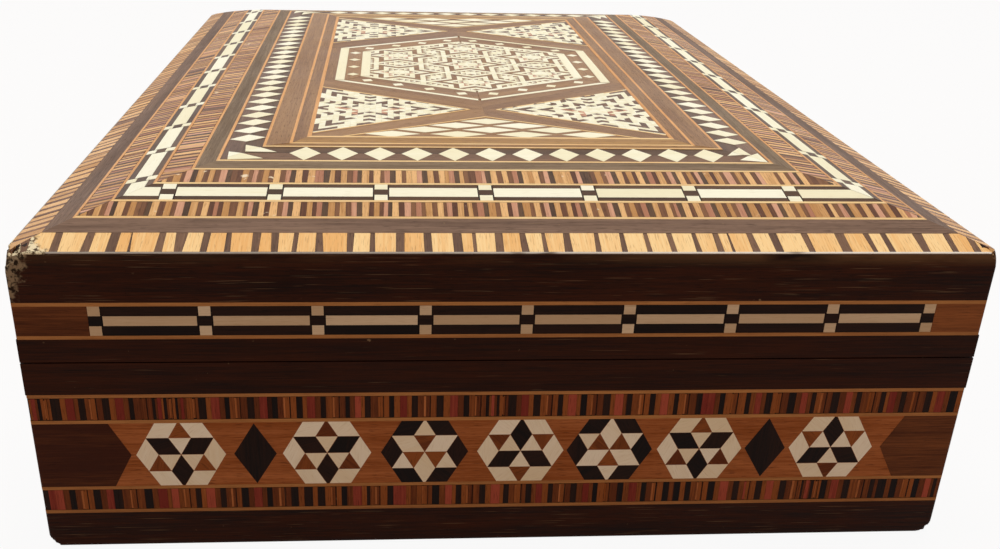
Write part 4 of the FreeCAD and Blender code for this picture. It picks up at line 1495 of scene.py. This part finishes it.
    def build_diamonds(self) -> None:
        """Lay the bone diamonds on their dark ground, with darts across the mitres."""
        piece = Marquetry("top_diamonds", 40, Polish.BRIGHT)
        low, high = self.diamond_band
        middle = (low + high) / 2
        darts = np.array([*self.left_darts, *self.right_darts]).reshape(-1, 3, 2)
        darts = np.concatenate([darts, darts * (1.0, -1.0)])
        for side in Side:
            place = PillowSlope(side)
            # The band's dark ground is black drawn lighter for painted sheen.
            slope_strip(piece, side, (low,) * 2, (high,) * 2, Timber.SOOT, sink=self.diamond_sink)
            # The ground's outer half is drawn in the lighter stain of painted sheen.
            slope_strip(piece, side, (low,) * 2, (middle,) * 2, Timber.FADED, sink=self.sheen_strip_sink)
            along = self.spots(side, self.diamond_start, self.diamond_pitch, self.diamond_count)
            middles = np.stack([along, np.full(len(along), middle)], axis=1)
            wide = self.diamond_share * self.diamond_pitch[1 if side.short else 0]
            piece.lay(place, Tiles.of(rhombs(middles, wide, (high - low) / 2), Timber.IVORY))
            turned = FORM.on_side(side, darts)
            near = Tiles.of(turned[turned[..., 1].mean(axis=1) < FORM.reach(side)], Timber.IVORY)
            piece.lay(place, near.mitred(FORM.run(side)).cut((0.0, 1.0), high))
        piece.build("lid", "mosaic", "top_diamonds")


@dataclass
class MiddlePanel:
    """Flat middle of the lid: crossed dark field, star and rhomb triangles and a long hexagon medallion."""

    half: float = 30.4
    long: float = 59.6
    cross_at: float = 40.2
    star_half: float = 17.2
    star_apex: float = 2.6
    star_at: float = 20.9
    # The corner stars' dark bands are drawn in the lighter stain of painted sheen.
    corner_stars: StarField = StarField(Timber.FADED, 70, 4.33, 2.1, 4.33, 0.35)
    medal_stars: StarField = StarField(Timber.HAZEL, 14, 3.3, 1.05, 3.9, 0.0)
    star_gap: float = 0.015
    star_bed: float = 0.1
    rhomb_half: float = 25.4
    rhomb_apex: float = 45.6
    rhomb: tuple[float, float] = (4.9, 1.95)
    rhomb_step: tuple[float, float] = (11.3, 2.9)
    rhomb_first: float = 1.75
    rhomb_rows: int = 4
    medal: tuple[float, float, float] = (28.3, 33.6, 17.0)
    medal_in: tuple[float, float] = (7.0, 8.1)
    medal_rails: tuple[tuple[float, float], ...] = ((0.27, 0.15), (0.73, 0.85))
    rail_gap: float = 0.04
    dashes: int = 4
    dash: float = 1.3
    thread: float = 0.45
    thread_sink: float = -0.005
    thread_thick: float = 0.2
    field_sink: float = 0.16
    field_thick: float = 0.4
    arm_angle: float = 0.576
    arm_thick: float = 0.3
    place: FlatMiddle = FlatMiddle()

    def medallion(self, upright: float, slant: float) -> np.ndarray:
        """Long hexagon with its upright and slanting sides drawn in.

        Args:
            upright: Share of the border that the upright sides are drawn in by.
            slant: Share of the border that the slanting sides are drawn in by.

        Returns:
            The corners, anticlockwise.
        """
        x, point, side = self.medal
        fall = (point - side) / x
        x, point = x - self.medal_in[0] * upright, point - self.medal_in[1] * slant
        side = point - fall * x
        return np.array([(0, -point), (x, -side), (x, side), (0, point), (-x, side), (-x, -side)])

    def build(self) -> None:
        """Lay the panel's pieces."""
        self.build_cross()
        self.build_triangles()
        self.build_medallion()

    def build_triangles(self) -> None:
        """Lay the star mosaics at the sides and the bone rhombs, in rows of one less each, at the ends."""
        stars = Marquetry("star_triangles", 41, Polish.BRIGHT)
        lattice = Marquetry("rhomb_triangles", 42, Polish.BRIGHT)
        step, lift = self.rhomb_step
        counts = range(self.rhomb_rows, 0, -1)
        heights = [self.rhomb_first + lift * (self.rhomb_rows - left) for left in counts]
        spots = np.concatenate([np.stack([step * (np.arange(left) - (left - 1) / 2), np.full(left, up)], 1)
                                for left, up in zip(counts, heights)])
        wedge = np.array([(0.0, self.rhomb_apex), (-self.rhomb_half, self.long),
                          (self.rhomb_half, self.long)])
        star = np.array([(self.star_apex, self.cross_at), (self.half, self.cross_at - self.star_half),
                         (self.half, self.cross_at + self.star_half)])
        for end in (-1.0, 1.0):
            ground = Tiles.of(wedge[None] * (1.0, end), Timber.HAZEL)
            lattice.lay(self.place, ground, gap=0.0, sink=GROUND_SINK)
            middles = (np.array([0.0, self.long]) - spots) * (1.0, end)
            lattice.lay(self.place, Tiles.of(rhombs(middles, *self.rhomb), Timber.IVORY))
            for hand in (-1.0, 1.0):
                corner = star * (hand, end)
                corner = corner[::-1] if hand * end < 0 else corner
                stars.lay(self.place, Tiles.of(corner[None], Timber.EBONY), gap=0.0, sink=self.star_bed)
                tiles = self.corner_stars.tiles(corner, (self.star_at * hand, self.cross_at * end))
                stars.lay(self.place, tiles, gap=self.star_gap)
        stars.build("lid", "mosaic", "panel_star_triangles")
        lattice.build("lid", "mosaic", "panel_rhomb_triangles")

    def build_cross(self) -> None:
        """Lay the arms of the cross with pale threads along their edges."""
        piece = Marquetry("panel_cross", 43, Polish.BRIGHT)
        u, v = np.meshgrid(np.linspace(-self.half, self.half, 3), np.linspace(-self.long, self.long, 3),
                           indexing="ij")
        piece.strip(self.place, u, v, Timber.HAZEL, sink=self.field_sink, thick=self.field_thick)
        x, point, side = self.medal
        low = np.array([(0, self.cross_at), (0, self.rhomb_apex), (self.rhomb_half, self.long),
                        (self.half, self.long), (self.half, self.cross_at + self.star_half),
                        (self.star_apex, self.cross_at)])
        high = np.array([(0, self.cross_at), (self.star_apex, self.cross_at),
                         (self.half, self.cross_at - self.star_half), (self.half, side),
                         (x, side), (0, point)])
        edges = np.array([(low[1], low[2]), (low[4], low[5]), (high[1], high[2])])
        way = edges[:, 1] - edges[:, 0]
        size = np.linalg.norm(way, axis=1, keepdims=True)
        across = np.stack([way[:, 1], -way[:, 0]], axis=1) / size * self.thread
        across = across * np.array([[-1.0], [1.0], [-1.0]])
        bands = np.stack([edges[:, 0], edges[:, 1], edges[:, 1] + across, edges[:, 0] + across], axis=1)
        flips = np.array([(hand, end) for hand in (-1.0, 1.0) for end in (-1.0, 1.0)])
        arms = np.concatenate([low * flips[:, None], high * flips[:, None]])
        slant = self.arm_angle * flips.prod(axis=1)
        sides = oblongs(np.array([-self.half, x]), np.array([-x, self.half]), -side, side)
        for corners, angle in ((arms, np.concatenate([slant, -slant])), (sides, math.pi / 2)):
            piece.lay(self.place, Tiles.of(corners, Timber.HAZEL, angle), gap=0.0, sink=GROUND_SINK,
                      thick=self.arm_thick)
        threads = (bands[None] * flips[:, None, None]).reshape(-1, 4, 2)
        piece.lay(self.place, Tiles.of(threads, Timber.CREAM), gap=0.0, sink=self.thread_sink,
                  thick=self.thread_thick)
        piece.build("lid", "dark_wood", "panel_cross_field")

    def build_medallion(self) -> None:
        """Lay the medallion's bone and dark border with its bone dashes, and its star mosaic."""
        border = Marquetry("medallion_edge", 44, Polish.BRIGHT)
        middle = Marquetry("medallion_stars", 45, Polish.BRIGHT)
        outlines = [self.medallion(*shares) for shares in ((0.0, 0.0), *self.medal_rails, (1.0, 1.0))]
        for outer, inner, timber in zip(outlines, outlines[1:], (Timber.IVORY, Timber.HAZEL, Timber.IVORY)):
            rails = np.stack([outer, np.roll(outer, -1, axis=0), np.roll(inner, -1, axis=0), inner], axis=1)
            along = np.roll(outer, -1, axis=0) - outer
            border.lay(self.place, Tiles.of(rails, timber, np.arctan2(along[:, 1], along[:, 0])),
                       gap=self.rail_gap, sink=GROUND_SINK if timber is Timber.HAZEL else 0.0)
        track = (outlines[1] + outlines[2]) / 2
        way = np.roll(track, -1, axis=0) - track
        edge = np.repeat(np.arange(len(track)), self.dashes)
        share = (np.arange(len(edge)) % self.dashes + 0.5) / self.dashes
        spots = (track[edge] + way[edge] * share[:, None])[:, None]
        long = (way / np.linalg.norm(way, axis=1, keepdims=True))[edge][:, None]
        wide = long[..., ::-1] * (-1.0, 1.0)
        corner = np.array([(-1, 0), (0, -1), (1, 0), (0, 1)]) * self.dash
        border.lay(self.place, Tiles.of(spots + long * corner[:, :1] + wide * corner[:, 1:], Timber.IVORY))
        inner = outlines[-1]
        middle.lay(self.place, Tiles.of(inner[None], Timber.EBONY), gap=0.0, sink=self.star_bed)
        middle.lay(self.place, self.medal_stars.tiles(inner, (0.0, 0.0)), gap=self.star_gap)
        border.build("lid", "mosaic", "medallion_border")
        middle.build("lid", "mosaic", "medallion_field")


@dataclass
class VelvetLining:
    """Velvet-covered cards on the floor, the walls and under the lid, in millimetres."""

    inside: tuple[float, float] = (63.0, 91.0)
    thick: float = 1.0
    floor: float = 3.0
    base_top: float = 30.8
    lid_low: float = 33.0
    lid_pad: tuple[float, float] = (41.2, 42.2)
    full: float = 0.92
    edge_fall: float = 0.5
    edge_power: int = 24
    ripple: float = 0.06
    waves: tuple[tuple[int, int], ...] = ((7, 3), (-2, 5))
    points_between: tuple[int, int] = (8, 44)
    crease: float = 60.0

    def card(self, name: str, body: str, node: str, cards: Sequence[tuple]) -> None:
        """One or more crowned cards: thickness falls steeply at the edges and ripples a little between them.

        Args:
            name: Name of the piece.
            body: Body that carries it.
            node: CAD node that it stands for.
            cards: Each card's middle of its back, half of its width and half of its height as vectors; these
                two turn anticlockwise seen from its face.
        """
        points, faces, total = [], [], 0
        for middle, wide, tall in cards:
            middle, wide, tall = (np.asarray(part, float) for part in (middle, wide, tall))
            facing = np.cross(wide, tall)
            facing = facing / np.linalg.norm(facing)
            columns, rows = (int(np.clip(np.linalg.norm(part) / 2, *self.points_between))
                             for part in (wide, tall))
            u, v = np.meshgrid(np.sin(np.linspace(-1, 1, columns) * math.pi / 2),
                               np.sin(np.linspace(-1, 1, rows) * math.pi / 2), indexing="ij")
            fall = np.clip(np.abs(u) ** self.edge_power + np.abs(v) ** self.edge_power, 0.0, 1.0)
            first, second = (np.sin(flat * u + upright * v) for flat, upright in self.waves)
            ripple = self.ripple * first * second
            lift = self.thick * (self.full - self.edge_fall * fall + ripple * (1 - fall))
            back = middle + u[..., None] * wide + v[..., None] * tall
            points += [(back + lift[..., None] * facing).reshape(-1, 3), back.reshape(-1, 3)]
            faces.append(shell(columns, rows) + total)
            total += 2 * u.size
        mesh = bpy.data.meshes.new(name)
        mesh.from_pydata((np.concatenate(points) * MM).tolist(), [], np.concatenate(faces).tolist())
        mesh.shade_smooth()
        mesh.set_sharp_from_angle(angle=math.radians(self.crease))
        mesh.materials.append(self.velvet)
        enrol(mesh, body, "velvet", [node])

    def walls(self, low: float, high: float) -> list[tuple]:
        """The four wall cards between two heights: front, back, left and right."""
        (x, y), tall, mid = self.inside, (0, 0, (high - low) / 2), (high + low) / 2
        return [((0, -y, mid), (self.thick - x, 0, 0), tall), ((0, y, mid), (x - self.thick, 0, 0), tall),
                ((-x, 0, mid), (0, y, 0), tall), ((x, 0, mid), (0, -y, 0), tall)]

    def build(self) -> None:
        """Make the cards."""
        self.velvet = VelvetFinish().material()
        x, y = self.inside
        self.card("floor_card", "base", "base_lining_floor", [((0, 0, self.floor), (x, 0, 0), (0, y, 0))])
        walls = self.walls(self.floor + self.thick, self.base_top)
        for word, wall in zip(("front", "back", "left", "right"), walls):
            self.card(f"{word}_card", "base", f"base_lining_{word}", [wall])
        self.card("lid_card", "lid", "lid_lining_top", [((0, 0, self.lid_pad[1]), (x, 0, 0), (0, -y, 0))])
        self.card("lid_side_cards", "lid", "lid_lining_sides", self.walls(self.lid_low, self.lid_pad[0]))


@dataclass
class KeptSolids:
    """Solids of the frame that keep their own shape and get a finish."""

    carcass: tuple[str, ...] = ("base_floor", "base_wall_front", "base_wall_back", "base_wall_left",
                                "base_wall_right", "lid_board", "lid_wall_front", "lid_wall_back",
                                "lid_wall_left", "lid_wall_right")
    bands: tuple[str, ...] = ("base_edge_band", "lid_low_band")
    metal: tuple[str, ...] = ("hinge_near_base_leaf", "hinge_far_base_leaf", "hinge_near_lid_leaf",
                              "hinge_far_lid_leaf", "hinge_near_pin", "hinge_far_pin", "hinge_base_screws",
                              "hinge_lid_screws")

    def dress(self) -> None:
        """Give each solid its finish."""
        boards = WoodFinish("carcass_board", "#8d6238", "#c59a66", "#4a2f18", grain=Grain.SOLID)
        dark = WoodFinish("stained_solid", "#160804", "#3e1c0c", "#0a0403", wear=Wear.LINED,
                          grain=Grain.SOLID)
        for names, material in ((self.carcass, boards.material(Polish.DULL)),
                                (self.bands, dark.material(Polish.DULL)),
                                (self.metal, BrassFinish().material())):
            for name in names:
                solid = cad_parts[name]
                solid.data.materials.clear()
                solid.data.materials.append(material)
                log.info("%s dressed", name)


@dataclass
class Studio:
    """Camera, floor and light; angles in degrees, lengths in metres."""

    lens: float = 38.619
    sensor: float = 36.0
    shift: tuple[float, float] = (0.045, 0.0555)
    spot: tuple[float, float, float] = (-0.017805, -0.236874, 0.102982)
    pitch: float = 25.416
    yaw: float = 3.971
    roll: float = -1.451
    nearest: float = 0.01
    lamp_at: tuple[float, float, float] = (0.0, 0.12, 1.25)
    lamp_size: tuple[float, float] = (0.9, 0.5)
    key: float = 12.0
    ambient: float = 0.3
    warm: tuple[float, float, float, float] = (1.0, 0.8, 0.7, 1.0)
    floor_half: float = 30.0
    floor_tint: tuple[float, float, float, float] = (0.66, 0.54, 0.47, 1.0)
    floor_glow: float = 0.93

    def build(self) -> None:
        """Set up camera, floor, lamp and world."""
        bpy.context.scene.view_settings.view_transform = "Standard"
        self.build_camera()
        self.build_floor()
        self.build_lamp()
        self.build_world()

    def show(self, name: str, data: bpy.types.ID) -> bpy.types.Object:
        """Put new data into the scene as an object.

        Args:
            name: The object's name.
            data: Its camera, lamp or mesh.

        Returns:
            The object.
        """
        made = bpy.data.objects.new(name, data)
        bpy.context.scene.collection.objects.link(made)
        return made

    def build_camera(self) -> None:
        """Camera turned by yaw, then pitched down, then rolled about its own axis."""
        a, b, c = (math.radians(part) for part in (self.pitch, self.yaw, self.roll))
        ahead = np.array([math.sin(b) * math.cos(a), math.cos(b) * math.cos(a), -math.sin(a)])
        level = np.array([math.cos(b), -math.sin(b), 0.0])
        under = np.cross(ahead, level)
        right = math.cos(c) * level + math.sin(c) * under
        down = -math.sin(c) * level + math.cos(c) * under
        camera = self.show("camera", bpy.data.cameras.new("camera"))
        camera.data.lens, camera.data.sensor_width = self.lens, self.sensor
        camera.data.sensor_fit = "HORIZONTAL"
        camera.data.shift_x, camera.data.shift_y = self.shift
        camera.data.clip_start = self.nearest
        turned = Matrix(np.stack([right, -down, -ahead], axis=1).tolist()).to_4x4()
        turned.translation = self.spot
        camera.matrix_world = turned
        bpy.context.scene.camera = camera

    def build_floor(self) -> None:
        """Large pale floor, near white to the camera with the object's shadow kept."""
        ends = (-self.floor_half, self.floor_half)
        u, v = np.meshgrid(ends, ends, indexing="ij")
        mesh = bpy.data.meshes.new("floor")
        mesh.from_pydata(np.stack([u, v, 0 * u], axis=-1).reshape(-1, 3).tolist(), [], [(0, 2, 3, 1)])
        floor = self.show("floor", mesh)
        graph = Graph(bpy.data.materials.new("pale_floor"))
        paint = graph.node("ShaderNodeBsdfDiffuse", None, {"Color": self.floor_tint})
        glow = graph.node("ShaderNodeEmission", None, {"Color": WHITE, "Strength": 1.0})
        both = graph.node("ShaderNodeMixShader", None,
                          {0: graph.seen() * self.floor_glow, 1: paint.outputs[0], 2: glow.outputs[0]})
        graph.node("ShaderNodeOutputMaterial", None, {0: both.outputs[0]})
        mesh.materials.append(graph.owner)

    def build_lamp(self) -> None:
        """Broad lamp overhead and a little to the rear, facing the origin."""
        data = bpy.data.lights.new("ceiling_lamp", "AREA")
        data.shape, data.energy = "RECTANGLE", self.key
        data.size, data.size_y = self.lamp_size
        tilt = math.atan2(self.lamp_at[1], self.lamp_at[2])
        turned = Matrix.Translation(self.lamp_at) @ Matrix.Rotation(-tilt, 4, "X")
        self.show("ceiling_lamp", data).matrix_world = turned

    def build_world(self) -> None:
        """Even warm light all round, from a sky that shows as white."""
        world = bpy.data.worlds.new("pale_room")
        bpy.context.scene.world = world
        graph = Graph(world)
        light = graph.node("ShaderNodeBackground", None, {"Color": self.warm, "Strength": self.ambient})
        white = graph.node("ShaderNodeBackground", None, {"Color": WHITE, "Strength": 1.0})
        both = graph.node("ShaderNodeMixShader", None,
                          {0: graph.seen(), 1: light.outputs[0], 2: white.outputs[0]})
        graph.node("ShaderNodeOutputWorld", None, {0: both.outputs[0]})


def main() -> None:
    """Build every part of the box and the studio; the pieces log their face counts."""
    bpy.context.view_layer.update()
    Studio().build()
    KeptSolids().dress()
    BaseVeneer().build()
    LidSides().build()
    LidTop().build()
    MiddlePanel().build()
    VelvetLining().build()
    bpy.context.view_layer.update()


if __name__ == "__main__":
    main()
